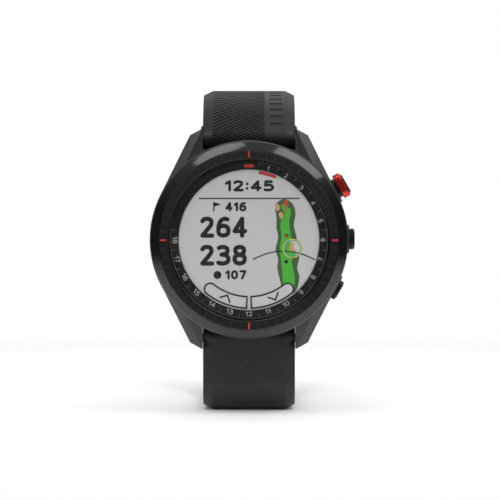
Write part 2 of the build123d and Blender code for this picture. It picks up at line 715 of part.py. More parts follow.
with BuildPart() as lower_strap:
    with BuildLine(SIDE) as lower_line:
        first = Line(LOWER_PIN.at(0, MID_LINE_RISE), LOWER_PIN.at(lower_start_run, MID_LINE_RISE))
        heel = JernArc(first @ 1, first % 1, LOWER_HEEL_R, LOWER_START_DEG)
        flat = PolarLine(heel @ 1, FLAT_RUN, 0)
        rising = JernArc(flat @ 1, flat % 1, LOWER_ARC_R, LOWER_END_DEG)
        PolarLine(rising @ 1, TAIL_STRAIGHT, LOWER_END_DEG)
    sweep(strap_section(LOWER_PIN), path=lower_line.line)
    add(end_solid(LOWER_PIN))
    add(end_room(LOWER_PIN), mode=Mode.SUBTRACT)
    tail_end = lower_line.line @ 1
    TAIL = StrapFrame(tail_end.Y, tail_end.Z, LOWER_END_DEG, -1)
    with BuildSketch(TAIL.surface(0, -STRAP_T / 2)):
        with BuildLine():
            Polyline((0, -STRAP_W / 2), (-1, -STRAP_W / 2), (-1, STRAP_W / 2), (0, STRAP_W / 2))
            EllipticalCenterArc((0, 0), TAIL_TIP, STRAP_W / 2, start_angle=-90, arc_size=180)
        make_face()
    extrude(amount=STRAP_T - 0.6)
    lower_path = lower_line.wires()[0]
    length = lower_path.length
    for hole in range(HOLE_COUNT):
        fraction = 1 - (1.0 + HOLE_PITCH * hole) / length
        point = lower_path.position_at(fraction)
        tangent = lower_path.tangent_at(fraction)
        with BuildSketch(Plane(origin=point, x_dir=(1, 0, 0), z_dir=tangent.cross(Vector(1, 0, 0)))):
            SlotOverall(3.6, 2 * HOLE_R)
        extrude(amount=3, both=True, mode=Mode.SUBTRACT)
write(lower_strap.part, "lower_strap")
write(hook(LOWER_PIN), "lower_strap_hook")
write(latch(LOWER_PIN), "lower_latch")

print("flat run from y", round((heel @ 1).Y, 2), "to", round((flat @ 1).Y, 2))
print("buckle bar at", [round(v, 3) for v in RUN.at(BAR_FROM_END, 0)])
print("upper strap length", round(upper_line.wires()[0].length, 1))
print("lower strap length", round(length + TAIL_TIP, 1))
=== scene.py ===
# %% [markdown]
# # A golf watch standing on its strap
# The hard shapes of the watch come from a CAD model, which is loaded as a fixed frame. This script
# gives the frame its looks: it rebuilds the pieces whose surface matters most, prints the dial, moulds
# the strap's grooves, and paints every piece. Lengths in the script are millimetres where a name or a
# comment says so, and are turned into metres as the last step of each piece.

# %% Load the frame
import json
import math

import bmesh
import bpy
import numpy as np
from mathutils import Matrix, Vector


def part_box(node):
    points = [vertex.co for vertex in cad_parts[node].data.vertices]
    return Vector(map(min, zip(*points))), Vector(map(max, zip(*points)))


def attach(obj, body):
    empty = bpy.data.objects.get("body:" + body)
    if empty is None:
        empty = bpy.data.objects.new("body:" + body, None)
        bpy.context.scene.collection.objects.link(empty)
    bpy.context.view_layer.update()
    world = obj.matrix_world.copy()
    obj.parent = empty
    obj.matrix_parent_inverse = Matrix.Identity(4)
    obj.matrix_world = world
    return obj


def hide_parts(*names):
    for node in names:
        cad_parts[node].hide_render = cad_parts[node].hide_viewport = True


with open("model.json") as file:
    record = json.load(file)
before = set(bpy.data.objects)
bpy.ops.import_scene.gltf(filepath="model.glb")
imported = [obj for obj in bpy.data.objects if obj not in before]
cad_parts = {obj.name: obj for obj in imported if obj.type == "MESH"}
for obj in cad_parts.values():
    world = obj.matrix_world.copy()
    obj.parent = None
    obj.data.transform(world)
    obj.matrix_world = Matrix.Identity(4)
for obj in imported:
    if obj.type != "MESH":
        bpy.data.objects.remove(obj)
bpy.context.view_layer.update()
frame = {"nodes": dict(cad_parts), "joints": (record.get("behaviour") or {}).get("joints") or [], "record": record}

# %% [markdown]
# ## Landmarks
# Everything is placed from a few points of the CAD model: the rear face and the centre of the dial, the
# two pins that the strap halves turn on, and the bar of the buckle. A drawing made flat in millimetres,
# x to the right, y towards 12 o'clock and z out of the dial, is laid on the watch by one matrix.

# %% Landmarks
MM = 0.001
REAR_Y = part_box("sensor_window")[1].y
DIAL_Z = sum(corner.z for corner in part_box("bezel")) / 2
JOINTS = {joint["name"]: joint for joint in frame["joints"]}
UPPER_PIN = Vector(JOINTS["upper_strap_hinge"]["pos_m"]) / MM
LOWER_PIN = Vector(JOINTS["lower_strap_hinge"]["pos_m"]) / MM
BUCKLE_BAR = Vector(JOINTS["buckle_hinge"]["pos_m"]) / MM
DIAL = Matrix(((MM, 0, 0, 0), (0, 0, -MM, REAR_Y), (0, MM, 0, DIAL_Z), (0, 0, 0, 1)))
print("dial centre", round(DIAL_Z / MM, 2), "mm up, rear face at", round(REAR_Y / MM, 2))

# %% [markdown]
# ## Mesh helpers
# Each finished mesh goes through the same last steps: doubled points are merged, the normals are made
# to face outwards, edges over a chosen angle are marked sharp, and the object is handed to its CAD body.


# %% Mesh helpers
def cleaned(mesh, gap=1e-4 * MM):
    """Merges doubled points of a closed mesh and turns its faces outwards."""
    work = bmesh.new()
    work.from_mesh(mesh)
    bmesh.ops.remove_doubles(work, verts=work.verts, dist=gap)
    bmesh.ops.dissolve_degenerate(work, edges=work.edges, dist=gap)
    bmesh.ops.recalc_face_normals(work, faces=work.faces)
    work.to_mesh(mesh)
    work.free()
    return mesh


def linked(name, data):
    """A new object in the scene."""
    thing = bpy.data.objects.new(name, data)
    bpy.context.scene.collection.objects.link(thing)
    return thing


def evaluated(thing):
    """The plain mesh that an object, or a curve's data, gives once it is evaluated."""
    temporary = thing if isinstance(thing, bpy.types.Object) else linked("made", thing)
    graph = bpy.context.evaluated_depsgraph_get()
    mesh = bpy.data.meshes.new_from_object(temporary.evaluated_get(graph), depsgraph=graph)
    bpy.data.objects.remove(temporary)
    return mesh


def joined(meshes):
    """One mesh from several."""
    work = bmesh.new()
    for mesh in meshes:
        work.from_mesh(mesh)
    whole = bpy.data.meshes.new("joined")
    work.to_mesh(whole)
    work.free()
    return whole


def place(name, mesh, body, slot, *finishes, stands_for=(), sharp=35):
    """Shades a finished mesh, gives it its finish, and lets it ride on its CAD body."""
    mesh.name = name
    mesh.shade_smooth()
    mesh.set_sharp_from_angle(angle=math.radians(sharp))
    kept = [0] * len(mesh.polygons)
    mesh.polygons.foreach_get("material_index", kept)
    mesh.materials.clear()
    for finish in finishes:
        mesh.materials.append(finish)
    if len(finishes) > 1:
        mesh.polygons.foreach_set("material_index", kept)
    piece = linked(name, mesh)
    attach(piece, body)
    if stands_for:
        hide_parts(*stands_for)
    triangles = sum(len(face.vertices) - 2 for face in mesh.polygons)
    print(f"{name}: {triangles} triangles")
    return piece


# %% [markdown]
# ## Shared shader effects
# Real finishes share a few effects: the fine grain that a mould leaves, the uneven shine that hands
# leave, edges rubbed paler, brushed lines in steel and a little dust. Each is a node group with named
# inputs, built once, and every material below uses it with its own values.


# %% Node helpers
def feed(tree, socket, value):
    """Fills an input with a link from another socket, or with a plain value."""
    if isinstance(value, bpy.types.NodeSocket):
        tree.links.new(value, socket)
    else:
        socket.default_value = value


def node(tree, kind, settings=(), **links):
    """Adds a node, sets its properties and fills its inputs. i6 stands for the input numbered 6."""
    made = tree.nodes.new(kind)
    for label, value in dict(settings).items():
        setattr(made, label, value)
    for label, value in links.items():
        key = label.replace("_", " ")
        numbered = key[0] == "i" and key[1:].isdigit()
        feed(tree, made.inputs[int(key[1:]) if numbered else key], value)
    return made


def calc(tree, operation, *values):
    """One Math node, and its result."""
    made = tree.nodes.new("ShaderNodeMath")
    made.operation = operation
    for socket, value in zip(made.inputs, values):
        feed(tree, socket, value)
    return made.outputs[0]


def times(tree, first, *others):
    """The product of two or more values."""
    for other in others:
        first = calc(tree, "MULTIPLY", first, other)
    return first


def blended(tree, share, first, second):
    """Two colours mixed."""
    return node(tree, "ShaderNodeMix", {"data_type": "RGBA"}, i0=share, i6=first, i7=second).outputs[2]


def ranged(tree, value, low, high, first=0.0, last=1.0, kind="LINEAR"):
    """A value carried from one range to another and held at its ends."""
    return node(tree, "ShaderNodeMapRange", {"interpolation_type": kind}, Value=value, From_Min=low,
                From_Max=high, To_Min=first, To_Max=last).outputs[0]


def noise(tree, scale, detail, **more):
    """A noise texture on the object's own coordinates."""
    place_on = node(tree, "ShaderNodeTexCoord").outputs["Object"]
    return node(tree, "ShaderNodeTexNoise", Vector=place_on, Scale=scale, Detail=detail,
                **more).outputs[0]


def add_inputs(tree, inputs):
    """Named inputs, each of the kind that its first value has."""
    kinds = {int: "Int", float: "Float", tuple: "Color"}
    for label, value in inputs.items():
        kind = "NodeSocket" + kinds[type(value)]
        tree.interface.new_socket(label, in_out="INPUT", socket_type=kind).default_value = value


def new_group(name, inputs, color_out=None, floats_out=()):
    """An empty shader group with its sockets: the tree, what it is given and what it gives."""
    tree = bpy.data.node_groups.new(name, "ShaderNodeTree")
    add_inputs(tree, inputs)
    for label in floats_out:
        tree.interface.new_socket(label, in_out="OUTPUT", socket_type="NodeSocketFloat")
    if color_out:
        tree.interface.new_socket(color_out, in_out="OUTPUT", socket_type="NodeSocketColor")
    return tree, tree.nodes.new("NodeGroupInput").outputs, tree.nodes.new("NodeGroupOutput").inputs


# %% Mould grain
BLACK, DUST_TONE, GAP_TONE = (0.1, 0.1, 0.1, 1), (0.3, 0.29, 0.27, 1), (0.05, 0.05, 0.055, 1)


def build_mould_grain():
    """Fine spark-eroded grain: a height for a Bump node and a tone that varies with it."""
    tree, given, gives = new_group("mould_grain", {"Scale": 9000.0, "Depth": 0.5},
                                   floats_out=("Height", "Tone"))
    fine = noise(tree, given["Scale"], 3.0)
    feed(tree, gives["Height"], times(tree, fine, given["Depth"]))
    wide = times(tree, noise(tree, 420.0, 2.0), 0.5)
    feed(tree, gives["Tone"], calc(tree, "MULTIPLY_ADD", fine, 0.5, wide))
    return tree


# %% Handling marks
def build_handling_marks():
    """Roughness that hands have made uneven: wide smears and short fine rubs."""
    tree, given, gives = new_group("handling_marks", {"Roughness": 0.4, "Amount": 0.1},
                                   floats_out=("Roughness",))
    smear, rub = noise(tree, 160.0, 4.0, Distortion=0.6), noise(tree, 2600.0, 2.0)
    uneven = calc(tree, "ADD", times(tree, smear, 0.7), times(tree, rub, 0.3))
    offset = times(tree, calc(tree, "SUBTRACT", uneven, 0.5), given["Amount"], 2.0)
    feed(tree, gives["Roughness"], calc(tree, "ADD", given["Roughness"], offset))
    return tree


# %% Edge wear
def build_edge_wear():
    """Outer edges rubbed towards a paler colour, patchily."""
    tree, given, gives = new_group("edge_wear", {"Color": BLACK, "Worn Color": DUST_TONE, "Amount": 0.5},
                                   "Color")
    point = node(tree, "ShaderNodeNewGeometry").outputs["Pointiness"]
    mask = times(tree, ranged(tree, point, 0.52, 0.62), noise(tree, 900.0, 3.0), given["Amount"])
    feed(tree, gives["Color"], blended(tree, mask, given["Color"], given["Worn Color"]))
    return tree


# %% Brushed lines
def build_brushed_lines():
    """Fine parallel scratches along the watch's width, as a belt leaves them on steel."""
    tree, given, gives = new_group("brushed_lines", {"Scale": 6000.0, "Depth": 0.5},
                                   floats_out=("Height", "Tone"))
    place_on = node(tree, "ShaderNodeTexCoord").outputs["Object"]
    stretched = node(tree, "ShaderNodeMapping", Vector=place_on, Scale=(0.04, 1.0, 1.0)).outputs[0]
    lines = node(tree, "ShaderNodeTexNoise", Vector=stretched, Scale=given["Scale"],
                 Detail=2.0).outputs[0]
    feed(tree, gives["Height"], times(tree, lines, given["Depth"]))
    feed(tree, gives["Tone"], lines)
    return tree


# %% Dust
def build_dust():
    """A thin settled dust that gathers on surfaces that face up."""
    tree, given, gives = new_group("dust", {"Color": BLACK, "Amount": 0.1}, "Color")
    normal = node(tree, "ShaderNodeNewGeometry").outputs["Normal"]
    facing = node(tree, "ShaderNodeSeparateXYZ", Vector=normal).outputs["Z"]
    thick = ranged(tree, noise(tree, 3800.0, 4.0, Roughness=0.7), 0.45, 0.8)
    mask = times(tree, thick, ranged(tree, facing, -0.2, 1.0, 0.15), given["Amount"])
    feed(tree, gives["Color"], blended(tree, mask, given["Color"], DUST_TONE))
    return tree


# %% Pixel raster
def build_pixel_raster():
    """The faint square raster of a reflective display, and its slow drift of tone."""
    tree, given, gives = new_group("pixel_raster", {"Color": BLACK, "Pitch": 0.14 * MM, "Depth": 0.06},
                                   "Color")
    place_on = node(tree, "ShaderNodeTexCoord").outputs["Object"]
    parts = node(tree, "ShaderNodeSeparateXYZ", Vector=place_on).outputs
    half = times(tree, given["Pitch"], 0.5)
    gaps = [ranged(tree, calc(tree, "PINGPONG", parts[axis], half), 0.0, 0.02 * MM, 1.0,
                   0.0) for axis in "XZ"]
    dark = times(tree, calc(tree, "MAXIMUM", *gaps), given["Depth"])
    share = calc(tree, "ADD", dark, times(tree, noise(tree, 60.0, 1.0), 0.06))
    feed(tree, gives["Color"], blended(tree, share, given["Color"], GAP_TONE))
    return tree


GROUPS = {tree.name: tree for tree in (build_mould_grain(), build_handling_marks(), build_edge_wear(),
                                       build_brushed_lines(), build_dust(), build_pixel_raster())}
print("shared shader groups:", ", ".join(GROUPS))

# %% [markdown]
# ## Finishes
# One maker builds every opaque finish: the Principled shader stays in the material, and the groups feed
# its colour, its roughness and its Bump node. What differs from one finish to the next is one row of
# values: colour, worn colour, metal or not, roughness, and how deep the grain or the brushing goes.


# %% The maker of finishes
COAT_ROUGHNESS, SHEEN_ROUGHNESS = 0.06, 0.4


def effect(tree, name, **links):
    """One of the shared groups, and its outputs."""
    return node(tree, "ShaderNodeGroup", {"node_tree": GROUPS[name]}, **links).outputs


def blank_material(name):
    """A new material, its node tree and the inputs of its Principled shader."""
    made = bpy.data.materials.new(name)
    made.use_nodes = True
    return made, made.node_tree, made.node_tree.nodes["Principled BSDF"].inputs


def finish(name, color, roughness, metallic=0.0, worn=None, wear=0.4, marks=0.08, grain=9000.0,
           relief=0.012,
           brushed=False, dusty=0.05, tone=0.12, coat=0.0, sheen=0.0, raster=0.0, painted_glow=0.0):
    """An opaque material. relief is the height of its grain in millimetres; the glow value, when set, adds a
    painted glow: emission in the surface's own colour, though the surface is no lamp.
    """
    made, tree, inputs = blank_material(name)
    texture = effect(tree, "brushed_lines" if brushed else "mould_grain", Scale=grain, Depth=1.0)
    deeper = tuple(c * (1 - tone) for c in color) + (1,)
    paler = tuple(min(1.0, c * (1 + 2.2 * tone) + 0.01 * tone) for c in color) + (1,)
    shown = effect(tree, "edge_wear", Color=blended(tree, texture["Tone"], deeper, paler),
                   Worn_Color=(*(worn or color), 1), Amount=wear if worn else 0.0)["Color"]
    shown = effect(tree, "dust", Color=shown, Amount=dusty)["Color"]
    if raster:
        shown = effect(tree, "pixel_raster", Color=shown, Depth=raster)["Color"]
    rough = effect(tree, "handling_marks", Roughness=roughness, Amount=marks)["Roughness"]
    bump = node(tree, "ShaderNodeBump", Height=texture["Height"], Distance=relief * MM, Strength=1.0)
    values = {"Base Color": shown, "Roughness": rough, "Normal": bump.outputs["Normal"],
              "Metallic": metallic, "Coat Weight": coat, "Coat Roughness": COAT_ROUGHNESS,
              "Sheen Weight": sheen, "Sheen Roughness": SHEEN_ROUGHNESS}
    # Painted glow: the surface gives off light in its own colour, though it is no lamp.
    if painted_glow:
        values.update({"Emission Color": shown, "Emission Strength": painted_glow})
    for label, value in values.items():
        feed(tree, inputs[label], value)
    return made


# %% The finishes of the watch
# A weak painted glow for the display's ground and inks; a reflective display gives no light of its own.
PAINTED_GLOW = 0.06
FINISH = {
    "case_polymer": finish("case_polymer", (0.026, 0.0265, 0.028), 0.4, worn=(0.1, 0.1, 0.105),
                           relief=0.014),
    "ceramic_bezel": finish("polished_ceramic", (0.005, 0.005, 0.0055), 0.14, marks=0.05, grain=3000.0,
                            relief=0.0006, dusty=0.01, coat=0.35),
    "satin_track": finish("satin_ceramic", (0.007, 0.007, 0.0076), 0.36, grain=12000.0, relief=0.003,
                          coat=0.1,
                          dusty=0.02),
    "black_rubber": finish("black_rubber", (0.009, 0.009, 0.0095), 0.7, relief=0.01, sheen=0.1),
    "dial_print": finish("dial_print", (0.005, 0.005, 0.0054), 0.5, grain=14000.0, relief=0.003,
                         dusty=0.0),
    # The display's pale grey ground, with the painted glow added to it.
    "display_glass": finish("display_ground", (0.575, 0.58, 0.575), 0.42, marks=0.03, grain=9000.0,
                            relief=0.0,
                            dusty=0.0, tone=0.02, raster=0.03, painted_glow=PAINTED_GLOW),
    "white_plastic": finish("white_plastic", (0.75, 0.76, 0.75), 0.4),
    "black_plastic": finish("black_plastic", (0.012, 0.012, 0.013), 0.36, worn=(0.06, 0.06, 0.06)),
    "polyimide_flex": finish("polyimide_flex", (0.55, 0.3, 0.06), 0.3, tone=0.2),
    "circuit_board": finish("circuit_board", (0.02, 0.16, 0.07), 0.32, grain=2400.0, tone=0.35),
    "tinned_steel": finish("tinned_steel", (0.6, 0.6, 0.59), 0.28, 1.0, grain=2600.0, relief=0.003,
                           tone=0.1),
    "antenna_ceramic": finish("antenna_ceramic", (0.75, 0.7, 0.6), 0.55, tone=0.08),
    "battery_foil": finish("battery_foil", (0.55, 0.56, 0.58), 0.34, 1.0, grain=900.0, relief=0.04),
    "stainless_steel": finish("stainless_steel", (0.45, 0.45, 0.46), 0.28, 1.0, brushed=True,
                              relief=0.003),
    "dark_steel": finish("dark_steel", (0.06, 0.06, 0.064), 0.28, 1.0, worn=(0.3, 0.3, 0.31), wear=0.5,
                         brushed=True, relief=0.004),
    "sensor_glass": finish("sensor_glass", (0.006, 0.006, 0.008), 0.08, marks=0.05, relief=0.0005,
                           coat=0.5),
    "led_resin": finish("led_resin", (0.5, 0.6, 0.4), 0.2, coat=0.6, tone=0.2),
    "gold_contact": finish("gold_contact", (0.83, 0.6, 0.25), 0.2, 1.0, relief=0.001),
    "red_aluminium": finish("red_aluminium", (0.62, 0.036, 0.026), 0.26, 0.75, worn=(0.75, 0.2, 0.15),
                            grain=11000.0, relief=0.004, coat=0.15, tone=0.1),
    "black_aluminium": finish("black_aluminium", (0.012, 0.012, 0.013), 0.32, 0.4,
                              worn=(0.12, 0.12, 0.12),
                              grain=11000.0, relief=0.004),
    "strap_silicone": finish("strap_silicone", (0.0088, 0.0088, 0.0094), 0.5, worn=(0.03, 0.03, 0.03),
                             wear=0.5,
                             marks=0.12, grain=7000.0, relief=0.008, dusty=0.025, tone=0.14, sheen=0.05),
}


# %% [markdown]
# ## Lens glass
# A watch lens shows almost only its reflection, a few percent when seen straight on and more towards its
# edge. A refracting glass would hide the display from the lamps, so the lens is a thin mirror whose
# alpha is the Fresnel reflectance: clear in the middle of the view and shinier at a slant. Its inner
# side is left clear, because light leaves a real lens there without being trapped.


# %% Lens glass
def build_lens_glass():
    made, tree, inputs = blank_material("lens_glass")
    film = effect(tree, "handling_marks", Roughness=0.03, Amount=0.015)["Roughness"]
    mirror_share = node(tree, "ShaderNodeFresnel", IOR=1.45).outputs[0]
    from_within = node(tree, "ShaderNodeNewGeometry").outputs["Backfacing"]
    alpha = times(tree, mirror_share, calc(tree, "SUBTRACT", 1.0, from_within))
    for label, value in (("Roughness", film), ("Base Color", (0.92, 0.95, 1.0, 1)), ("Metallic", 1.0),
                         ("Alpha", alpha)):
        feed(tree, inputs[label], value)
    return made


FINISH["lens_glass"] = build_lens_glass()
SLOT_OF = {part["node"]: part["material_slot"] for part in frame["record"]["subparts"]}
for cad_name, cad_node in frame["nodes"].items():
    cad_node.data.materials.clear()
    cad_node.data.materials.append(FINISH[SLOT_OF[cad_name]])
print(len(frame["nodes"]), "CAD nodes painted with", len(FINISH), "finishes")

# %% [markdown]
# ## Bezel
# The bezel is one turned ring of black ceramic: a polished bevel that falls away outwards, and inside it
# a flatter satin track. A turned shape is drawn as half a section and carried round the dial's axis. The
# corners of the section are rounded first, because a real polished edge catches a thin line of light.


# %% Turned rings
def rounded(corners, radius, steps=3):
    """A closed outline with each corner replaced by a small curve."""
    outline = []
    count = len(corners)
    for index, corner in enumerate(corners):
        here = Vector(corner)
        ends = []
        for other in (corners[index - 1], corners[(index + 1) % count]):
            away = Vector(other) - here
            ends.append(here + away.normalized() * min(radius, away.length * 0.4))
        for step in range(steps + 1):
            share = step / steps
            outline.append((1 - share) ** 2 * ends[0] + 2 * share * (1 - share) * here + share**2 * ends[1])
    return outline


def turned(outline, segments=288):
    """A ring about the dial's axis from a closed outline of (radius, height) in millimetres."""
    points, faces = [], []
    for turn in range(segments):
        angle = 2 * math.pi * turn / segments
        points += [DIAL @ Vector((math.sin(angle) * r, math.cos(angle) * r, h)) for r, h in outline]
    count = len(outline)
    for turn in range(segments):
        near, far = turn * count, (turn + 1) % segments * count
        faces += [(near + i, near + (i + 1) % count, far + (i + 1) % count,
                   far + i) for i in range(count)]
    mesh = bpy.data.meshes.new("turned")
    mesh.from_pydata(points, [], faces)
    return cleaned(mesh)


# %% Bezel
BEVEL_INNER_R = 21.18
TRACK_OUT, TRACK_IN = (21.05, 14.55), (19.25, 14.38)
BEZEL_SECTION = [(18.7, 12.2), (23.3, 12.2), (23.3, 12.85), (23.12, 13.1), (21.3, 14.65), (21.15, 14.65),
                 TRACK_OUT, TRACK_IN, (19.05, 14.2), (19.05, 12.9), (18.7, 12.9)]
bezel_mesh = turned(rounded(BEZEL_SECTION, 0.05))
for bezel_face in bezel_mesh.polygons:
    middle = DIAL.inverted() @ bezel_face.center
    bezel_face.material_index = int(math.hypot(middle.x, middle.y) < BEVEL_INNER_R)
place("bezel_ring", bezel_mesh, "watch_head", "ceramic_bezel", FINISH["ceramic_bezel"],
      FINISH["satin_track"], stands_for=["bezel"], sharp=60)

# %% [markdown]
# ## Marks round a ring
# The minute marks, the four red marks and the dividers between the hole numbers are the same thing: a
# thin bar, repeated round a circle. One Geometry Nodes tree makes them all. Points carry the angle, a
# bar is put on each, and the result is realised into plain faces.


# %% The tree of ring marks
def new_grower(name, inputs, reshapes=False):
    """An empty Geometry Nodes tree with its named inputs, and what it is given."""
    tree = bpy.data.node_groups.new(name, "GeometryNodeTree")
    if reshapes:
        tree.interface.new_socket("Geometry", in_out="INPUT", socket_type="NodeSocketGeometry")
    add_inputs(tree, inputs)
    tree.interface.new_socket("Finish", in_out="INPUT", socket_type="NodeSocketMaterial")
    tree.interface.new_socket("Geometry", in_out="OUTPUT", socket_type="NodeSocketGeometry")
    return tree, tree.nodes.new("NodeGroupInput").outputs


def grow_out(tree, given, shape):
    """The last steps of each tree: copies become plain faces and take their finish."""
    real = node(tree, "GeometryNodeRealizeInstances", Geometry=shape)
    painted = node(tree, "GeometryNodeSetMaterial", Geometry=real.outputs[0], Material=given["Finish"])
    tree.links.new(painted.outputs[0], tree.nodes.new("NodeGroupOutput").inputs["Geometry"])
    return tree


def bars_at(tree, given, spot, **more):
    """A bar of the given width, length and depth on each of the given number of points."""
    points = node(tree, "GeometryNodePoints", Count=given["Count"], Position=spot.outputs[0])
    size = node(tree, "ShaderNodeCombineXYZ", X=given["Width"], Y=given["Length"], Z=given["Depth"])
    bar = node(tree, "GeometryNodeMeshCube", Size=size.outputs[0])
    return node(tree, "GeometryNodeInstanceOnPoints", Points=points.outputs[0], Instance=bar.outputs[0],
                **more).outputs[0]


def build_ring_marks():
    tree, given = new_grower("ring_marks", {
        "Count": 60, "First Angle": 0.0, "Step": 0.1, "Radius": 20.0, "Height": 14.0, "Length": 1.0,
        "Width": 0.1, "Depth": 0.02, "Tilt": 0.0})
    index = node(tree, "GeometryNodeInputIndex").outputs[0]
    turn = calc(tree, "MULTIPLY_ADD", index, given["Step"], given["First Angle"])
    spot = node(tree, "ShaderNodeCombineXYZ", X=times(tree, calc(tree, "SINE", turn), given["Radius"]),
                Y=times(tree, calc(tree, "COSINE", turn), given["Radius"]), Z=given["Height"])
    facing = node(tree, "ShaderNodeCombineXYZ", X=given["Tilt"], Z=times(tree, turn, -1.0))
    return grow_out(tree, given, bars_at(tree, given, spot, Rotation=facing.outputs[0]))


def grown(tree, values, base=None):
    """The plain mesh that a Geometry Nodes tree makes from its named input values."""
    holder = linked("holder", base or bpy.data.meshes.new("empty"))
    modifier = holder.modifiers.new("grow", "NODES")
    modifier.node_group = tree
    for item in tree.interface.items_tree:
        if item.in_out == "INPUT" and item.name in values:
            modifier[item.identifier] = values[item.name]
    return evaluated(holder)


RING_MARKS = build_ring_marks()
TRACK_TILT = math.atan2(TRACK_OUT[1] - TRACK_IN[1], TRACK_OUT[0] - TRACK_IN[0])


def track_height(radius):
    """Height of the satin track's surface at a radius, in millimetres."""
    return TRACK_IN[1] + (radius - TRACK_IN[0]) * math.tan(TRACK_TILT)


# %% Marks on the bezel and on the number ring
FINISH["mark_grey"] = finish("engraved_mark", (0.035, 0.035, 0.037), 0.6, relief=0.004, dusty=0.1)
FINISH["mark_red"] = finish("red_mark", (0.5, 0.03, 0.025), 0.45, relief=0.003)
FINISH["print_grey"] = finish("grey_print", (0.2, 0.2, 0.205), 0.5, relief=0.002)
FINISH["print_pale"] = finish("pale_print", (0.34, 0.34, 0.345), 0.5, relief=0.002)


def marks(name, slot, paint, **values):
    """A ring of bars laid on the watch."""
    named = {key.replace("_", " "): value for key, value in values.items()}
    mesh = grown(RING_MARKS, {"Finish": FINISH[paint], **named})
    mesh.transform(DIAL)
    return place(name, mesh, "watch_head", slot, FINISH[paint])


STEP_MINUTE, STEP_HOLE = math.radians(6), math.radians(15)
marks("minute_marks", "ceramic_bezel", "mark_grey", Count=60, Step=STEP_MINUTE, Radius=20.25, Length=1.5,
      Height=track_height(20.25), Width=0.13, Depth=0.03, Tilt=TRACK_TILT)
marks("quarter_marks", "red_aluminium", "mark_red", Count=4, Step=math.radians(90), Radius=20.3,
      Length=1.5,
      Height=track_height(20.3), Width=0.4, Depth=0.07, Tilt=TRACK_TILT)
RING_TOP_H = 13.1
marks("hole_dividers", "dial_print", "print_grey", Count=19, First_Angle=math.radians(7.5),
      Step=STEP_HOLE,
      Radius=18.05, Length=1.0, Height=RING_TOP_H, Width=0.09, Depth=0.03)

# %% [markdown]
# ## Flat drawings
# Printed shapes are thin plates. A closed 2D curve fills itself, holes included, so a drawing is a list
# of outlines in millimetres. A line with a width is an outline too, with round ends.


# %% Outlines and plates
PRINT_T = 0.012


def arc(radius, first, last, steps=24, centre=(0.0, 0.0)):
    """Points along a circle, clockwise from 12 o'clock, angles in degrees."""
    turns = [math.radians(first + (last - first) * step / steps) for step in range(steps + 1)]
    return [(centre[0] + radius * math.sin(turn), centre[1] + radius * math.cos(turn)) for turn in turns]


def ring(radius, centre):
    return arc(radius, 0, 360, 40, centre)[:-1]


def line(points, width):
    """Outline of a line with round ends."""
    path = [Vector(point) for point in points]
    half = width / 2
    left, right = [], []
    for index, here in enumerate(path):
        along = (path[min(index + 1, len(path) - 1)] - path[max(index - 1, 0)]).normalized()
        left.append(here + Vector((-along.y, along.x)) * half)
        right.append(here - Vector((-along.y, along.x)) * half)
    caps = []
    for end, before in ((path[-1], path[-2]), (path[0], path[1])):
        start = math.atan2(end.y - before.y, end.x - before.x) + math.pi / 2
        turns = [start - math.pi * step / 8 for step in range(1, 8)]
        caps.append([end + Vector((math.cos(turn), math.sin(turn))) * half for turn in turns])
    return [tuple(p) for p in left + caps[0] + right[::-1] + caps[1]]


def plate(loops, height, thickness=PRINT_T):
    """A thin plate from closed outlines on the dial, standing on a height."""
    curve = bpy.data.curves.new("outline", "CURVE")
    curve.dimensions, curve.fill_mode, curve.extrude = "2D", "BOTH", thickness / 2
    for loop in loops:
        spline = curve.splines.new("POLY")
        spline.points.add(len(loop) - 1)
        for point, (x, y) in zip(spline.points, loop):
            point.co = (x, y, 0, 1)
        spline.use_cyclic_u = True
    mesh = evaluated(curve)
    mesh.transform(DIAL @ Matrix.Translation((0, 0, height + thickness / 2)))
    return cleaned(mesh)


# %% [markdown]
# ## Figures
# The figures are drawn with a pen of one width, as plain bold ones are. Each digit is a few strokes in a
# box one high and half as wide: a soft stroke is a smooth curve through its points, and a straight one
# keeps its corners. The strokes are scaled to the size wanted and each becomes a thin plate.

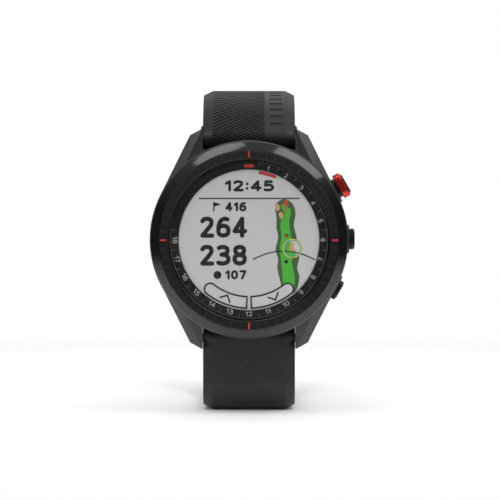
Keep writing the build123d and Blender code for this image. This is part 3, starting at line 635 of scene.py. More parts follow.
# %% Pen strokes of the digits
SOFT, STRAIGHT = True, False
SIX = [(SOFT, [(0.45, 0.96), (0.3, 1.0), (0.12, 0.88), (0.02, 0.6), (0.0, 0.3)]),
       (SOFT, [(0.25, 0.6), (0.06, 0.51), (0.0, 0.3), (0.06, 0.08), (0.25, 0.0)]),
       (SOFT, [(0.25, 0.6), (0.44, 0.51), (0.5, 0.3), (0.44, 0.08), (0.25, 0.0)])]
DIGITS = {
    "0": [(SOFT, [(0.25, 1), (0.06, 0.86), (0, 0.5), (0.06, 0.14), (0.25, 0)]),
          (SOFT, [(0.25, 1), (0.44, 0.86), (0.5, 0.5), (0.44, 0.14), (0.25, 0)])],
    "1": [(STRAIGHT, [(0.22, 0), (0.22, 1)]), (STRAIGHT, [(0.22, 1), (0, 0.78)])],
    "2": [(SOFT,
           [(0.02, 0.86), (0.1, 0.97), (0.27, 1), (0.43, 0.92), (0.46, 0.72), (0.36, 0.5),
            (0.02, 0.02)]),
          (STRAIGHT, [(0.02, 0), (0.5, 0)])],
    "3": [(SOFT, [(0.03, 0.94), (0.22, 1), (0.42, 0.92), (0.45, 0.74), (0.36, 0.59), (0.16, 0.54)]),
          (SOFT, [(0.16, 0.54), (0.4, 0.48), (0.5, 0.28), (0.42, 0.07), (0.2, 0), (0, 0.05)])],
    "4": [(STRAIGHT, [(0.37, 0), (0.37, 1)]), (STRAIGHT, [(0.37, 1), (0, 0.27)]),
          (STRAIGHT, [(0, 0.27), (0.52, 0.27)])],
    "5": [(STRAIGHT, [(0.43, 1), (0.07, 1)]), (STRAIGHT, [(0.07, 1), (0.04, 0.55)]),
          (SOFT,
           [(0.04, 0.55), (0.24, 0.62), (0.44, 0.52), (0.5, 0.31), (0.42, 0.08), (0.2, 0), (0, 0.05)])],
    "6": SIX,
    "7": [(STRAIGHT, [(0, 1), (0.5, 1)]), (STRAIGHT, [(0.5, 1), (0.17, 0)])],
    "8": [(SOFT, [(0.25, 1), (0.07, 0.93), (0.04, 0.76), (0.1, 0.6), (0.25, 0.53)]),
          (SOFT, [(0.25, 1), (0.43, 0.93), (0.46, 0.76), (0.4, 0.6), (0.25, 0.53)]),
          (SOFT, [(0.25, 0.53), (0.05, 0.44), (0, 0.26), (0.07, 0.07), (0.25, 0)]),
          (SOFT, [(0.25, 0.53), (0.45, 0.44), (0.5, 0.26), (0.43, 0.07), (0.25, 0)])],
    "9": [(kind, [(0.5 - x, 1 - y) for x, y in points]) for kind, points in SIX],
    ":": [(STRAIGHT, [(0, 0.2), (0, 0.21)]), (STRAIGHT, [(0, 0.72), (0, 0.73)])],
}
DIGIT_W = {"1": 0.22, ":": 0.0}
STROKE_STEP = 0.001  # height between strokes that cross, so that no two faces share a plane


def smoothed(points, steps=6, closed=False):
    """A smooth curve through given points."""
    count = len(points)
    pick = (lambda i: points[i % count]) if closed else (lambda i: points[min(max(i, 0), count - 1)])
    path = []
    for index in range(count if closed else count - 1):
        a, b, c, d = (Vector(pick(index + shift)) for shift in (-1, 0, 1, 2))
        for step in range(steps):
            t = step / steps
            path.append(tuple(0.5 * (2 * b + (c - a) * t + (2 * a - 5 * b + 4 * c - d) * t**2
                                     + (3 * b - a - 3 * c + d) * t**3)))
    return path if closed else path + [tuple(points[-1])]


def blob(points):
    """A soft closed outline through given points."""
    return smoothed(points, closed=True)


def written(text, low, high, height, pen, gap=0.3, turn=0.0, middle=(0.0, 0.0)):
    """Figures that fill a box, drawn with a pen of one width, turned and then moved to a middle."""
    widths = [DIGIT_W.get(digit, 0.5) for digit in text]
    unit = (high[0] - low[0] - len(text) * pen - (len(text) - 1) * gap) / sum(widths)
    rise, start, plates = high[1] - low[1] - pen, low[0] + pen / 2, []
    for digit, width in zip(text, widths):
        for kind, points in DIGITS[digit]:
            path = [(start + x * unit, low[1] + pen / 2 + y * rise) for x, y in points]
            path = smoothed(path) if kind is SOFT else path
            path = [(x * math.cos(turn) - y * math.sin(turn) + middle[0],
                     x * math.sin(turn) + y * math.cos(turn) + middle[1]) for x, y in path]
            plates.append(plate([line(path, pen)], height + STROKE_STEP * len(plates)))
        start += width * unit + pen + gap
    return joined(plates)


# %% [markdown]
# ## Numbers on the ring
# Under the lens a flat black ring carries the numbers of the eighteen holes, one every fifteen degrees.
# The first six read with their tops outwards and the rest the other way up, so that no number stands on
# its head. A hairline runs round outside them, and a small red bar marks 12 o'clock.

# %% Hole numbers
NUMBER_R, NUMBER_HALF_H, NUMBER_PEN = 17.5, 0.58, 0.2
numbers = []
for hole in range(1, 19):
    angle = STEP_HOLE * hole
    half_w = 0.22 if hole == 1 else 0.4 if hole < 10 else 0.6 if hole == 11 else 0.82
    upright = -angle if hole <= 6 else math.pi - angle
    numbers.append(written(str(hole), (-half_w, -NUMBER_HALF_H), (half_w, NUMBER_HALF_H), RING_TOP_H,
                           NUMBER_PEN, gap=0.2, turn=upright,
                           middle=(NUMBER_R * math.sin(angle), NUMBER_R * math.cos(angle))))
place("hole_numbers", joined(numbers), "watch_head", "dial_print", FINISH["print_pale"])
place("ring_hairline", plate([line(arc(18.55, 7.5, 277.5, 120), 0.07)], RING_TOP_H), "watch_head",
      "dial_print", FINISH["print_grey"])
place("twelve_bar", plate([line(arc(17.5, -2.6, 2.6, 8), 0.75)], RING_TOP_H), "watch_head",
      "red_aluminium", FINISH["mark_red"])

# %% [markdown]
# ## Display
# The display is a reflective one: dark figures and muted colours on a pale grey ground, lit by the
# room, and its ground and inks carry a weak painted glow as well. The page drawn here is our own plain
# layout of such a watch's distance page: a time, a rule, two distances with a small line over and under
# them, two soft keys and a sketch of a hole. Every shape is a thin plate, and each layer lies a little
# above the one below it.

# %% Display inks
INKS = {"dark": (0.016, 0.016, 0.018), "grey": (0.075, 0.077, 0.08), "rough": (0.062, 0.125, 0.045),
        "fairway": (0.075, 0.46, 0.04), "green": (0.17, 0.3, 0.05), "sand": (0.56, 0.35, 0.17),
        "red": (0.56, 0.05, 0.04), "yellow": (0.6, 0.57, 0.06), "teal": (0.06, 0.38, 0.46),
        "navy": (0.008, 0.014, 0.06), "pale": (0.575, 0.58, 0.575)}
for ink_name, ink_color in INKS.items():
    # Each ink carries the same weak painted glow as the display's ground.
    FINISH["ink_" + ink_name] = finish("ink_" + ink_name, ink_color, 0.42, marks=0.03, relief=0.0,
                                       dusty=0.0,
                                       tone=0.03, raster=0.03, painted_glow=PAINTED_GLOW)
PANEL_H = 12.7
LAYER = 0.014


def draw(name, ink, layer, *loops):
    """One printed shape of the page, on its layer."""
    mesh = joined([plate([loop], PANEL_H + layer * LAYER) for loop in loops])
    return place(name, mesh, "watch_head", "display_glass", FINISH["ink_" + ink])


# %% The page's figures
page = [written("12:45", (-5.7, 11.45), (5.9, 14.1), PANEL_H + LAYER, 0.64, gap=0.5),
        written("416", (-5.6, 6.74), (-0.6, 8.95), PANEL_H + LAYER, 0.54),
        written("264", (-11.6, 0.5), (-0.5, 5.5), PANEL_H + LAYER, 1.02, gap=0.45),
        written("238", (-11.6, -6.1), (-0.5, -1.15), PANEL_H + LAYER, 1.02, gap=0.45),
        written("107", (-5.6, -9.35), (-0.6, -7.15), PANEL_H + LAYER, 0.54)]
flag_and_ball = [line([(-8.3, 6.85), (-8.3, 8.8)], 0.3), [(-8.3, 8.95), (-6.55, 8.4), (-8.3, 7.85)],
                 ring(0.95, (-7.45, -8.3))]
page += [plate([loop], PANEL_H + LAYER) for loop in flag_and_ball]
place("page_figures", joined(page), "watch_head", "display_glass", FINISH["ink_dark"])
draw("page_rule", "grey", 1, line([(-11.75, 9.8), (11.9, 9.8)], 0.34))
draw("page_red_arc", "red", 1, line(arc(16.1, 9.3, 22.0, 10), 0.8))


# %% Soft keys
def key_outline(side, grow):
    """Outline of a soft key on one side of 6 o'clock, made larger all round by grow."""
    end = 38.2
    near = 2.05 - math.degrees(grow / 15)
    tip = (14.8 * math.sin(math.radians(end)), -14.8 * math.cos(math.radians(end)))
    outer = arc(16.15 + grow, 180 - near, 180 - end, 16)
    cap = [(tip[0] + (1.37 + grow) * math.sin(math.radians(180 - end - turn)),
            tip[1] + (1.37 + grow) * math.cos(math.radians(180 - end - turn))) for turn in range(15,
                                                                                                 180,
                                                                                                 15)]
    inner = arc(13.43 - grow, 180 - end, 180 - near, 16)
    return [(side * x, y) for x, y in outer + cap + inner]


for side, label in ((-1, "left"), (1, "right")):
    frame_mesh = plate([key_outline(side, 0.19), key_outline(side, -0.19)], PANEL_H + 4 * LAYER)
    place(f"soft_key_{label}", frame_mesh, "watch_head", "display_glass", FINISH["ink_dark"])
    draw(f"soft_key_{label}_ground", "pale", 3, key_outline(side, -0.1))
for label, tail, corner, tip in (("up", (-6.84, -13.6), (-5.08, -13.1), (-4.54, -14.8)),
                                 ("down", (4.54, -13.6), (6.28, -14.2), (6.87, -12.5))):
    draw(f"soft_key_{label}_arrow", "dark", 5, line([tail, corner], 0.38), line([corner, tip], 0.38))

# %% The sketch of a hole
ROUGH = [(6.5, 8.7), (6.2, 7.4), (6.5, 5.2), (6.5, 2.8), (6.9, 0.6), (6.3, -2.2), (6.9, -4.6),
         (6.7, -6.8),
         (7.5, -10.2), (8.0, -12.1), (9.6, -12.7), (11.1, -12.1), (11.9, -9.0), (11.4, -6.6),
         (11.9, -4.0),
         (11.5, -1.5), (11.2, 0.8), (10.6, 3.6), (11.0, 6.2), (10.3, 8.5), (8.4, 9.65)]
FAIRWAY = [(8.3, -11.6), (7.9, -8.0), (7.6, -5.0), (7.3, -2.2), (7.7, 0.8), (7.4, 3.4), (8.0, 5.4),
           (9.4, 7.6),
           (9.9, 6.6), (9.5, 4.2), (9.8, 1.6), (10.3, -2.0), (10.1, -5.0), (10.8, -9.0), (10.4, -11.4)]
SANDS = [blob([(6.15, 8.0), (6.6, 8.6), (7.2, 8.1), (7.25, 7.2), (6.6, 6.9)]),
         blob([(7.0, 6.2), (7.6, 6.6), (8.1, 6.0), (7.9, 5.2), (7.4, 5.0)])]
draw("map_rough", "rough", 1, blob(ROUGH))
draw("map_fairway", "fairway", 2, blob(FAIRWAY))
draw("map_green", "green", 3,
     blob([(7.5, 8.2), (8.2, 8.6), (9.0, 8.0), (9.1, 6.8), (8.5, 6.3), (7.9, 7.0)]))
draw("map_sand", "sand", 4, *SANDS)
draw("map_pin", "red", 5, blob([(8.3, 9.2), (9.0, 9.3), (9.4, 8.5), (8.9, 8.0), (8.4, 8.4)]))
SPOT = (10.25, -2.0)
spot_ring = plate([ring(2.3, SPOT), ring(2.05, SPOT)], PANEL_H + 8 * LAYER)
place("map_spot_ring", spot_ring, "watch_head", "display_glass", FINISH["ink_yellow"])
draw("map_spot_edge", "teal", 3, ring(2.06, SPOT))
draw("map_spot_ground", "pale", 4, ring(1.82, SPOT))
draw("map_spot_fairway", "fairway", 5, arc(1.82, 150, 345, 20, SPOT))
draw("map_spot_sand", "sand", 6, blob([(9.4, -2.3), (10.0, -0.6), (10.6, -0.7), (10.5, -1.8),
                                              (11.2, -2.8), (10.0, -2.9)]))
draw("map_red_dot", "red", 5, ring(0.3, (8.9, 1.05)))
draw("map_red_dot_edge", "dark", 4, ring(0.45, (8.9, 1.05)))
draw("map_navy_dot", "navy", 5, ring(0.42, (8.8, -5.15)))
reach = [(x / 2, -2.65 - 0.0376 * (x / 2 - 8.2) ** 2) for x in range(2, 32)]
draw("map_reach_line", "dark", 7, line(reach, 0.24))

# %% [markdown]
# ## Case, buttons and fittings
# The machined and moulded parts have the right shape in the CAD model, but its edges are knife sharp,
# and on a real part every edge has a small round that draws a line of light. A copy of each one has its
# loose triangles merged and its sharp edges bevelled, and stands for the CAD part.

# %% Softened copies
BODY_OF = {member: body for body,
           members in frame["record"]["behaviour"]["bodies"].items() for member in members}


SHARP_FROM = math.radians(28)


def softened(cad_name, name, width, segments=2):
    """A copy of a CAD part with its sharp edges rounded by a width in millimetres."""
    mesh = cleaned(frame["nodes"][cad_name].data.copy())
    work = bmesh.new()
    work.from_mesh(mesh)
    bmesh.ops.dissolve_limit(work, angle_limit=math.radians(0.4), verts=work.verts, edges=work.edges)
    edges = [edge for edge in work.edges
             if len(edge.link_faces) == 2 and edge.calc_face_angle(0) > SHARP_FROM]
    bmesh.ops.bevel(work, geom=edges, offset=width * MM, offset_type="OFFSET", segments=segments,
                    profile=0.5,
                    affect="EDGES", clamp_overlap=True)
    bmesh.ops.triangulate(work, faces=[face for face in work.faces if len(face.verts) > 4])
    work.to_mesh(mesh)
    work.free()
    slot = SLOT_OF[cad_name]
    return place(name, mesh, BODY_OF[cad_name], slot, FINISH[slot], stands_for=[cad_name], sharp=32)


softened("case_body", "case_shell", 0.07)
softened("back_cover", "rear_cover", 0.08)
for which in ("upper", "middle", "lower"):
    softened(f"{which}_button_cap", f"{which}_button_top", 0.1)
softened("upper_button_insert", "upper_button_face", 0.06)
softened("buckle_frame", "buckle_loop", 0.35, segments=3)
softened("buckle_prong", "buckle_tongue", 0.25, segments=3)
for keeper in ("fixed_keeper", "free_keeper"):
    softened(keeper, keeper + "_band", 0.35, segments=3)
for which in ("upper", "lower"):
    softened(f"{which}_latch", f"{which}_release_latch", 0.1)
    softened(f"{which}_strap_hook", f"{which}_pin_hook", 0.08)

# %% [markdown]
# ## Grip ribs
# The two black buttons carry a row of fine ribs for the finger tip. A tree sets one bar along a row, and
# the row is laid on each cap's outer face, which looks outwards from the rim at the button's angle.


# %% Grip ribs
def build_grip_ribs():
    tree, given = new_grower("grip_ribs", {"Count": 5, "Spacing": 0.7, "Length": 2.6, "Width": 0.3,
                                           "Depth": 0.2})
    half_run = times(tree, calc(tree, "SUBTRACT", given["Count"], 1.0),
                     times(tree, given["Spacing"], 0.5))
    run = times(tree, node(tree, "GeometryNodeInputIndex").outputs[0], given["Spacing"])
    spot = node(tree, "ShaderNodeCombineXYZ", X=calc(tree, "SUBTRACT", run, half_run))
    return grow_out(tree, given, bars_at(tree, given, spot))


GRIP_RIBS = build_grip_ribs()
BUTTON_H = 7.2
for which, clock, cap_r in (("middle", 0, 25.1), ("lower", -30, 24.9)):
    turn = math.radians(clock)
    rim = Matrix(((-math.sin(turn), 0, math.cos(turn), 0), (0, -1, 0, 0),
                  (math.cos(turn), 0, math.sin(turn), 0),
                  (0, 0, 0, 1)))
    middle = Vector((math.cos(turn) * cap_r * MM, REAR_Y - BUTTON_H * MM,
                     DIAL_Z + math.sin(turn) * cap_r * MM))
    ribs = grown(GRIP_RIBS, {"Finish": FINISH["black_aluminium"]})
    ribs.transform(Matrix.Translation(middle) @ rim @ Matrix.Scale(MM, 4))
    place(f"{which}_button_ribs", cleaned(ribs), f"{which}_button", "black_aluminium",
          FINISH["black_aluminium"])

# %% [markdown]
# ## Strap
# Each strap half is moulded silicone: a thick end round its lug pin, a body 22 mm wide with bevelled
# edges, and a field of thin grooves that fan out over the wrist, beside a smooth stripe. Side by side
# sections are set along the strap's curved line, and a Geometry Nodes tree presses the grooves in.

# %% The strap's line
STRAP_HALF_W, STRAP_HALF_T, BEVEL_W, BEVEL_D = 11.0, 1.4, 2.2, 1.1
END_R, MID_RISE = 2.6, 1.2


class StrapLine:
    """The middle line of a strap half in side view, from runs and arcs given as (length, turn)."""

    def __init__(self, pin, heading, outward, pieces):
        self.pin, self.heading, self.outward = (pin.y, pin.z), math.radians(heading), outward
        self.steps = [(length, math.radians(turn)) for length, turn in pieces]
        self.length = sum(length for length, turn in pieces)

    def out(self, heading):
        return (-math.sin(heading) * self.outward, math.cos(heading) * self.outward)

    def from_pin(self, along, rise):
        """Side-view point in the straight frame of the pin."""
        out = self.out(self.heading)
        return (self.pin[0] + math.cos(self.heading) * along + out[0] * rise,
                self.pin[1] + math.sin(self.heading) * along + out[1] * rise)

    def at(self, along, rise):
        """Side-view point at a length along the line and a rise outwards, and the outward direction."""
        y, z = self.from_pin(0, MID_RISE)
        heading, left = self.heading, along
        for length, turn in self.steps:
            run = min(left, length) if left > 0 else left
            last = (length, turn) == self.steps[-1]
            if last and left > length:
                run = left
            bend = turn * run / length
            chord = run if abs(bend) < 1e-9 else run * math.sin(bend / 2) / (bend / 2)
            y += chord * math.cos(heading + bend / 2)
            z += chord * math.sin(heading + bend / 2)
            heading += bend
            left -= run
            if left <= 1e-9:
                break
        out = self.out(heading)
        return (y + out[0] * rise, z + out[1] * rise), out


HEEL_R, HEEL_TURN = 6.0, 88
heel_drop = HEEL_R * (1 - math.cos(math.radians(HEEL_TURN)))
lower_top_z = LOWER_PIN.z - MID_RISE * math.cos(math.radians(HEEL_TURN))
lower_run = (lower_top_z - STRAP_HALF_T - heel_drop) / math.sin(math.radians(HEEL_TURN))
UPPER_LINE = StrapLine(UPPER_PIN, 50, 1, [(2.0, 0), (math.radians(85) * 22.4, -85), (25.0, 0)])
LOWER_LINE = StrapLine(LOWER_PIN, -88, -1, [(lower_run, 0), (math.radians(88) * HEEL_R, 88), (22.0, 0),
                                           (math.radians(75) * 42.0, 75), (6.0, 0)])
print("strap halves", round(UPPER_LINE.length, 1), "and", round(LOWER_LINE.length, 1),
      "mm along the line")


# %% Sections along the strap
def eased(value, low, high):
    share = min(1.0, max(0.0, (value - low) / (high - low)))
    return share * share * (3 - 2 * share)


END_DEPTH, END_LENGTH, END_STEP, END_STEP_RUN = 2.2, 7.2, 0.8, 1.8
ROUND_MEETS = math.sqrt(END_R**2 - END_DEPTH**2)
INNER_FROM, INNER_TO = 8.9, 9.7


def inner_point(strap, along):
    """Wrist side of the strap: the thick end's round and floor, then the strap's own inner face."""
    if along < END_LENGTH:
        deep = -END_DEPTH if along > ROUND_MEETS else -math.sqrt(END_R**2 - along**2)
    else:
        deep = -END_DEPTH + END_STEP * min(1.0, (along - END_LENGTH) / END_STEP_RUN)
    thick = strap.from_pin(along, deep)
    plain, out = strap.at(along, -STRAP_HALF_T)
    share = eased(along, INNER_FROM, INNER_TO)
    return tuple(a * (1 - share) + b * share for a, b in zip(thick, plain))


COLUMNS = sorted({round(sign * x, 3) for sign in (-1, 1) for x in (11.0, 10.9, 9.9, 8.92, 8.8, 8.68)}
                 | {round(-8.5 + 0.28 * step, 3) for step in range(46)}
                 | {round(4.5 + 0.35 * step, 3) for step in range(12)})
INNER_COLUMNS = [11.0, 10.9, 9.2, 8.6, 8.4, 5.6, 2.8, 0.0, -2.8, -5.6, -8.4, -8.6, -9.2, -10.9, -11.0]


def strap_mesh(strap, stations, eye=None, tip=0.0):
    """The strap's skin. eye is the radius of a round end about a bar, and tip a pointed tail's length."""
    sections, facts = [], []
    rows = [(-END_R * math.cos(math.radians(turn)), math.radians(turn)) for turn in np.arange(4, 89,
                                                                                              2.5)]
    rows += [(along, None) for along in stations]
    for along, turn in rows:
        square = eased(along, -2.0, 1.5)
        narrow, top, low = 1.0, STRAP_HALF_T, -STRAP_HALF_T
        if eye:
            centre = strap.length + 1.0
            square *= 1 - eased(along, centre - 4.0, centre - 2.0)
            if along > centre - 2.0:
                swell = STRAP_HALF_T + (eye - STRAP_HALF_T) * eased(along, centre - 2.0, centre - 0.4)
                top = swell if along < centre else math.sqrt(max(0.0, eye**2 - (along - centre) ** 2))
                low = -top
        if tip and along > strap.length:
            share = (along - strap.length) / tip
            narrow = math.sqrt(max(0.0, 1 - share**2))
            top = STRAP_HALF_T - 0.6 * share
        section = []
        for x in COLUMNS:
            drop = BEVEL_D * square * max(0.0, (abs(x) - (STRAP_HALF_W - BEVEL_W)) / BEVEL_W)
            if turn is None:
                (y, z), out = strap.at(along, top - drop)
                reach = along
            else:
                y, z = strap.from_pin(along, END_R * math.sin(turn) - drop)
                rim, pin = strap.from_pin(along, END_R * math.sin(turn)), strap.pin
                out = ((rim[0] - pin[0]) / END_R, (rim[1] - pin[1]) / END_R)
                reach = -END_R * (math.pi / 2 - turn)
            section.append((x * narrow, y, z))
            facts.append((x, reach, 0.0, *out, 1.0 if abs(x) < 10.8 else 0.0))
        for x in INNER_COLUMNS:
            if turn is not None:
                y, z = strap.from_pin(along, -END_R * math.sin(turn))
            elif along < INNER_TO:
                y, z = inner_point(strap, along)
            else:
                (y, z), out = strap.at(along, low)
            section.append((x * narrow, y, z))
            facts.append((x, reach, 0.0, *out, -1.0 if abs(x) < 10.8 else 0.0))
        sections.append(section)
    count = len(sections[0])
    faces = [tuple(range(count)), tuple(range(len(sections) * count - count, len(sections) * count))]
    for row in range(len(sections) - 1):
        first = row * count
        faces += [(first + i, first + (i + 1) % count, first + count + (i + 1) % count,
                   first + count + i)
                  for i in range(count)]
    mesh = bpy.data.meshes.new("strap")
    mesh.from_pydata([point for section in sections for point in section], [], faces)
    facts = np.array(facts, np.float32)
    for label, column in (("across", 0), ("along", 1), ("side", 5)):
        mesh.attributes.new(label, "FLOAT", "POINT").data.foreach_set("value", facts[:, column].copy())
    mesh.attributes.new("outward", "FLOAT_VECTOR", "POINT").data.foreach_set("vector",
                                                                             facts[:, 2:5].ravel())
    work = bmesh.new()
    work.from_mesh(mesh)
    bmesh.ops.recalc_face_normals(work, faces=work.faces)
    work.to_mesh(mesh)
    work.free()
    return mesh


# %% [markdown]
# ## The tree that moulds the strap
# Each point knows how far it lies across and along the strap. The grooves are lines of equal phase,
# where the phase is the length along the strap less a slope times the place across it, and the slope
# changes along the strap, so that the grooves fan out. The tree pushes the groove bottoms inwards, adds
# a short column of sunk bars in the smooth stripe, and shallow channels on the wrist side.


# %% Strap relief
STRIPE = (4.9, 8.0)
CHANNEL_HALF_W = 8.6


def build_strap_relief():
    tree, given = new_grower("strap_relief", {
        "Pitch": 0.85, "Depth": 0.3, "Groove Share": 0.42, "Slope Near Pin": 0.53, "Slope Far": -0.2,
        "Fan From": 4.0, "Fan To": 30.0, "Field Left": -8.75, "Field Right": 3.9, "Fade From": 0.5,
        "Fade To": 38.0, "Fade Length": 2.0, "Bars From": 9.0, "Bars To": 24.0, "Bar Pitch": 2.4,
        "Bar Depth": 0.18, "Channel Pitch": 4.0, "Channel Depth": 0.22, "Channels From": 14.0,
        "Channels To": 50.0}, reshapes=True)

    def attribute(label, kind="FLOAT"):
        return node(tree, "GeometryNodeInputNamedAttribute", {"data_type": kind}, Name=label).outputs[0]

    def window(value, low, high, soft):
        rise = ranged(tree, value, low, calc(tree, "ADD", low, soft), kind="SMOOTHSTEP")
        fall = ranged(tree, value, calc(tree, "SUBTRACT", high, soft), high, 1.0, 0.0, "SMOOTHSTEP")
        return times(tree, rise, fall)

    def repeat(length, pitch):
        return calc(tree, "FRACT", calc(tree, "DIVIDE", length, pitch))

    across, along, side = attribute("across"), attribute("along"), attribute("side")
    slope = ranged(tree, along, given["Fan From"], given["Fan To"], given["Slope Near Pin"],
                   given["Slope Far"])
    middle = times(tree, calc(tree, "ADD", given["Field Left"], given["Field Right"]), 0.5)
    lean = times(tree, slope, calc(tree, "SUBTRACT", across, middle))
    phase = repeat(calc(tree, "SUBTRACT", along, lean), given["Pitch"])
    distance = calc(tree, "ABSOLUTE", calc(tree, "SUBTRACT", phase, 0.5))
    groove = ranged(tree, distance, 0.0, times(tree, given["Groove Share"], 0.5), 1.0, 0.0, "SMOOTHSTEP")
    field = times(tree, window(across, given["Field Left"], given["Field Right"], 0.35),
                  window(along, given["Fade From"], given["Fade To"], given["Fade Length"]))
    pressed = times(tree, groove, field, given["Depth"])
    bar_phase = repeat(calc(tree, "SUBTRACT", along, given["Bars From"]), given["Bar Pitch"])
    bars = times(tree, window(bar_phase, 0.1, 0.75, 0.08),
                 window(along, given["Bars From"], given["Bars To"], 0.05),
                 window(across, *STRIPE, 0.25), given["Bar Depth"])
    outer = calc(tree, "MAXIMUM", side, 0.0)
    face = times(tree, calc(tree, "ADD", pressed, bars), outer)
    channels = times(tree, window(repeat(along, given["Channel Pitch"]), 0.25, 0.75, 0.2),
                     window(along, given["Channels From"], given["Channels To"], 1.0),
                     window(across, -CHANNEL_HALF_W, CHANNEL_HALF_W, 0.2), given["Channel Depth"])
    inner = times(tree, calc(tree, "MAXIMUM", times(tree, side, -1.0), 0.0), channels)
    push = node(tree, "ShaderNodeVectorMath", {"operation": "SCALE"},
                i0=attribute("outward", "FLOAT_VECTOR"),
                Scale=calc(tree, "SUBTRACT", inner, face))
    moved = node(tree, "GeometryNodeSetPosition", Geometry=given["Geometry"], Offset=push.outputs[0])
    return grow_out(tree, given, moved.outputs[0])


STRAP_RELIEF = build_strap_relief()


# %% Cutting the rooms and holes
def capped(points):
    """A closed block between two outlines that have as many points as each other."""
    count = len(points) // 2
    faces = [tuple(range(count)), tuple(range(count, 2 * count))]
    faces += [(i, (i + 1) % count, count + (i + 1) % count, count + i) for i in range(count)]
    mesh = bpy.data.meshes.new("cutter")
    mesh.from_pydata(points, [], faces)
    return cleaned(mesh, 1e-6)


def prism(side_outline, half_width):
    """A block across the watch from an outline in side view (y, z), millimetres."""
    return capped([(x, y, z) for x in (-half_width, half_width) for y, z in side_outline])


def round_outline(centre, radius, steps=48):
    return [(centre[0] + radius * math.cos(2 * math.pi * step / steps),
             centre[1] + radius * math.sin(2 * math.pi * step / steps)) for step in range(steps)]


def carved(mesh, cutters):
    """The mesh with each cutter taken out of it."""
    holder = linked("carved", mesh)
    tools = []
    for cutter in cutters:
        tool = linked("tool", cutter)
        cut = holder.modifiers.new("cut", "BOOLEAN")
        cut.operation, cut.solver, cut.object = "DIFFERENCE", "MANIFOLD", tool
        tools.append(tool)
    whole = evaluated(holder)
    for tool in tools:
        bpy.data.objects.remove(tool)
    return whole


def end_rooms(strap):
    """What is hollow in a thick end: round the pin and its hook, the mouth, the latch and the tang."""
    def block(first, last, low, high):
        return [strap.from_pin(*corner) for corner in ((first, low), (last, low), (last, high),
                                                       (first, high))]
    return [prism(round_outline(strap.from_pin(0, 0), 1.8), 14), prism(block(-3.6, 1.8, -4, -0.9), 14),
            prism(block(-3.6, 7.0, -4, -1.25), 8.2), prism(block(0, 6.5, -0.35, 0.35), 8.0)]


def slot_hole(strap, along, length=3.6, width=2.4):
    """A rounded slot through the strap, its long way across."""
    half = (length - width) / 2
    outline = [(half * (1 if math.cos(turn) > 0 else -1) + width / 2 * math.cos(turn),
                width / 2 * math.sin(turn))
               for turn in (2 * math.pi * (step + 0.5) / 28 for step in range(28))]
    (y, z), out = strap.at(along, 0)
    run = (out[1] * strap.outward, -out[0] * strap.outward)
    return capped([(u, y + run[0] * v + out[0] * rise, z + run[1] * v + out[1] * rise)
                   for rise in (-3, 3) for u, v in outline])


def spaced(*spans):
    """Stations from spans of (first, last, step), without doubles."""
    found = []
    for first, last, step in spans:
        count = round((last - first) / step)
        found += [first + (last - first) * k / count for k in range(count)]
    return found + [spans[-1][1]]


def strap_piece(name, cad_name, mesh, cutters, relief):
    moulded = grown(STRAP_RELIEF, {"Finish": FINISH["strap_silicone"], **relief}, mesh)
    whole = carved(moulded, cutters)
    whole.transform(Matrix.Scale(MM, 4))
    for label in ("across", "along", "side", "outward"):
        if label in whole.attributes:
            whole.attributes.remove(whole.attributes[label])
    return place(name, cleaned(whole, 2e-7), BODY_OF[cad_name], "strap_silicone",
                 FINISH["strap_silicone"],
                 stands_for=[cad_name], sharp=24)


# %% Upper strap
EYE_CENTRE = UPPER_LINE.length + 1.0
PRONG_GAP = 1.7
eye_outline = [UPPER_LINE.at(along, rise)[0] for along, rise in
               ((EYE_CENTRE - 2.2, -4), (EYE_CENTRE + 5, -4), (EYE_CENTRE + 5, 4),
                (EYE_CENTRE - 2.2, 4))]
eye_turns = [EYE_CENTRE + 1.7 * math.sin(math.radians(turn)) for turn in range(0, 90, 9)]
upper_stations = spaced((0.05, 38, 0.11), (38, EYE_CENTRE - 2, 0.5),
                        (EYE_CENTRE - 2, EYE_CENTRE, 0.25))[:-1]
strap_piece("upper_strap_half", "upper_strap",
            strap_mesh(UPPER_LINE, upper_stations + eye_turns, eye=1.7),
            end_rooms(UPPER_LINE) + [prism(round_outline(UPPER_LINE.at(EYE_CENTRE, 0)[0], 0.75), 14),
                                     prism(eye_outline, PRONG_GAP)],
            {"Fade From": -6.0, "Fade To": 37.5, "Slope Near Pin": 0.55, "Slope Far": -0.25,
             "Fan From": 1.0,
             "Fan To": 26.0, "Depth": 0.4, "Groove Share": 0.5, "Bars From": 1.0, "Bars To": 22.6,
             "Channels From": 14.0, "Channels To": 52.0})

# %% Lower strap
HOLE_PITCH, HOLE_COUNT = 5.6, 9
hole_stations = [LOWER_LINE.length - 1.0 - HOLE_PITCH * hole for hole in range(HOLE_COUNT)]
TAIL = 7.0
tail_turns = [LOWER_LINE.length + TAIL * math.sin(math.radians(turn)) for turn in range(6, 88, 6)]
lower_stations = spaced((0.05, 14, 0.11), (14, LOWER_LINE.length, 0.45)) + tail_turns
strap_piece("lower_strap_half", "lower_strap", strap_mesh(LOWER_LINE, lower_stations, tip=TAIL),
            end_rooms(LOWER_LINE) + [joined([slot_hole(LOWER_LINE, along) for along in hole_stations])],
            {"Fade From": -9.0, "Fade To": 13.0, "Fade Length": 7.0, "Pitch": 0.62, "Depth": 0.07,
             "Slope Near Pin": -0.5,
             "Slope Far": -0.1, "Fan From": -2.0, "Fan To": 12.0, "Field Right": 8.7, "Bars From": 100.0,
             "Bars To": 100.2, "Channels From": 14.0, "Channels To": 58.0})

# %% [markdown]
# ## Floor, light and camera
# The watch stands in a white studio. Two long soft boxes hang above it, a little to each side, and they
# are what the polished bevel shows at eleven and one o'clock. The sides are dark flags, which keep the
# bevel black at three and nine, and a weak fill from the front lights the dial. The pale floor fades
# into the white of the room, so that no horizon shows.


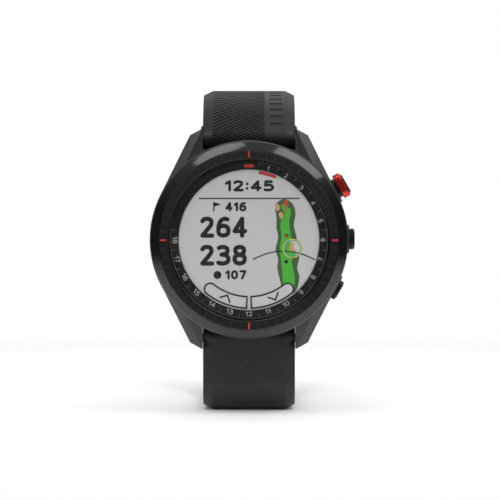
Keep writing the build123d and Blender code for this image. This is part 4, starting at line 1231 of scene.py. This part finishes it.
# %% Floor
def build_floor_paint():
    made, tree, inputs = blank_material("studio_floor")
    place_on = node(tree, "ShaderNodeTexCoord").outputs["Object"]
    paint = blended(tree, noise(tree, 30.0, 2.0), (0.9, 0.9, 0.9, 1), (0.92, 0.92, 0.92, 1))
    distance = node(tree, "ShaderNodeVectorMath", {"operation": "LENGTH"}, i0=place_on).outputs["Value"]
    fade = ranged(tree, distance, *FLOOR_FADE, 1.0, 0.0, "SMOOTHSTEP")
    for label, value in (("Base Color", paint), ("Roughness", 0.9), ("Specular IOR Level", 0.1),
                         ("Alpha", fade)):
        feed(tree, inputs[label], value)
    return made


FLOOR_R = 0.26
FLOOR_FADE = (0.05, 0.24)
floor_points = [(FLOOR_R * math.cos(turn), FLOOR_R * math.sin(turn), -0.02 * MM)
                for turn in (2 * math.pi * step / 96 for step in range(96))]
floor_mesh = bpy.data.meshes.new("studio_floor")
floor_mesh.from_pydata(floor_points, [], [tuple(range(96))])
floor_mesh.materials.append(build_floor_paint())
floor = linked("studio_floor", floor_mesh)


# %% Lights
def soft_box(name, clock_deg, tilt_deg, away, width, length, power):
    """A soft box that looks at the dial, from a direction round the dial and a tilt to the front."""
    lamp = bpy.data.lights.new(name, "AREA")
    lamp.shape, lamp.size, lamp.size_y, lamp.energy = "RECTANGLE", width, length, power
    box = linked(name, lamp)
    round_by, forward = math.radians(clock_deg), math.radians(tilt_deg)
    way = Vector((math.sin(round_by) * math.cos(forward), -math.sin(forward),
                  math.cos(round_by) * math.cos(forward)))
    target = Vector((0, REAR_Y, DIAL_Z))
    box.location = target + way * away
    box.rotation_mode = "QUATERNION"
    box.rotation_quaternion = (-way).to_track_quat("-Z", "Y")


soft_box("right_overhead", 34, 12, 0.55, 0.2, 0.3, 0.52)
soft_box("left_overhead", -20, 12, 0.55, 0.17, 0.3, 0.42)
soft_box("rear_overhead", 5, -38, 0.6, 0.5, 0.35, 0.5)
soft_box("front_fill", 8, 52, 0.8, 0.3, 0.2, 0.35)


# %% Room
DOME_LOW, DOME_TOP = 0.35, 1.35


def build_room():
    """White to the camera and to matt surfaces; to shiny ones, dark at the sides and in front."""
    room = bpy.data.worlds.new("studio")
    bpy.context.scene.world = room
    room.use_nodes = True
    tree = room.node_tree
    tree.nodes.clear()
    facing = node(tree, "ShaderNodeTexCoord").outputs["Generated"]
    way = node(tree, "ShaderNodeSeparateXYZ", Vector=facing).outputs
    above = ranged(tree, way["Z"], 0.3, 0.95, 0.06, 0.5)
    behind = ranged(tree, way["Y"], 0.1, 0.9, 0.0, 0.25)
    low = ranged(tree, way["Z"], -0.3, -0.9, 0.0, 0.8)
    mirrored = calc(tree, "ADD", calc(tree, "ADD", above, behind), low)
    dome = ranged(tree, way["Z"], 0.0, 1.0, DOME_LOW, DOME_TOP)
    sharp, soft, seen = (node(tree, "ShaderNodeBackground", Color=(1, 1, 1, 1),
                              Strength=strength).outputs[0]
                         for strength in (mirrored, dome, 1.0))
    ray = node(tree, "ShaderNodeLightPath").outputs
    lit = node(tree, "ShaderNodeMixShader", i0=ray["Is Diffuse Ray"], i1=sharp, i2=soft)
    pick = node(tree, "ShaderNodeMixShader", i0=ray["Is Camera Ray"], i1=lit.outputs[0], i2=seen)
    node(tree, "ShaderNodeOutputWorld", Surface=pick.outputs[0])


build_room()

# %% Camera
CAMERA_AWAY, CAMERA_RISE_DEG = 0.65, 2.5
camera_data = bpy.data.cameras.new("camera")
camera_data.sensor_width, camera_data.lens = 36.0, 198.6
camera = linked("camera", camera_data)
aim = DIAL @ Vector((0.24, -2.3, 14.65))
rise = math.radians(CAMERA_RISE_DEG)
camera.location = aim + Vector((0, -math.cos(rise), math.sin(rise))) * CAMERA_AWAY
camera.rotation_euler = (math.radians(90) - rise, 0, 0)
bpy.context.scene.camera = camera
bpy.context.scene.view_settings.view_transform = "Standard"
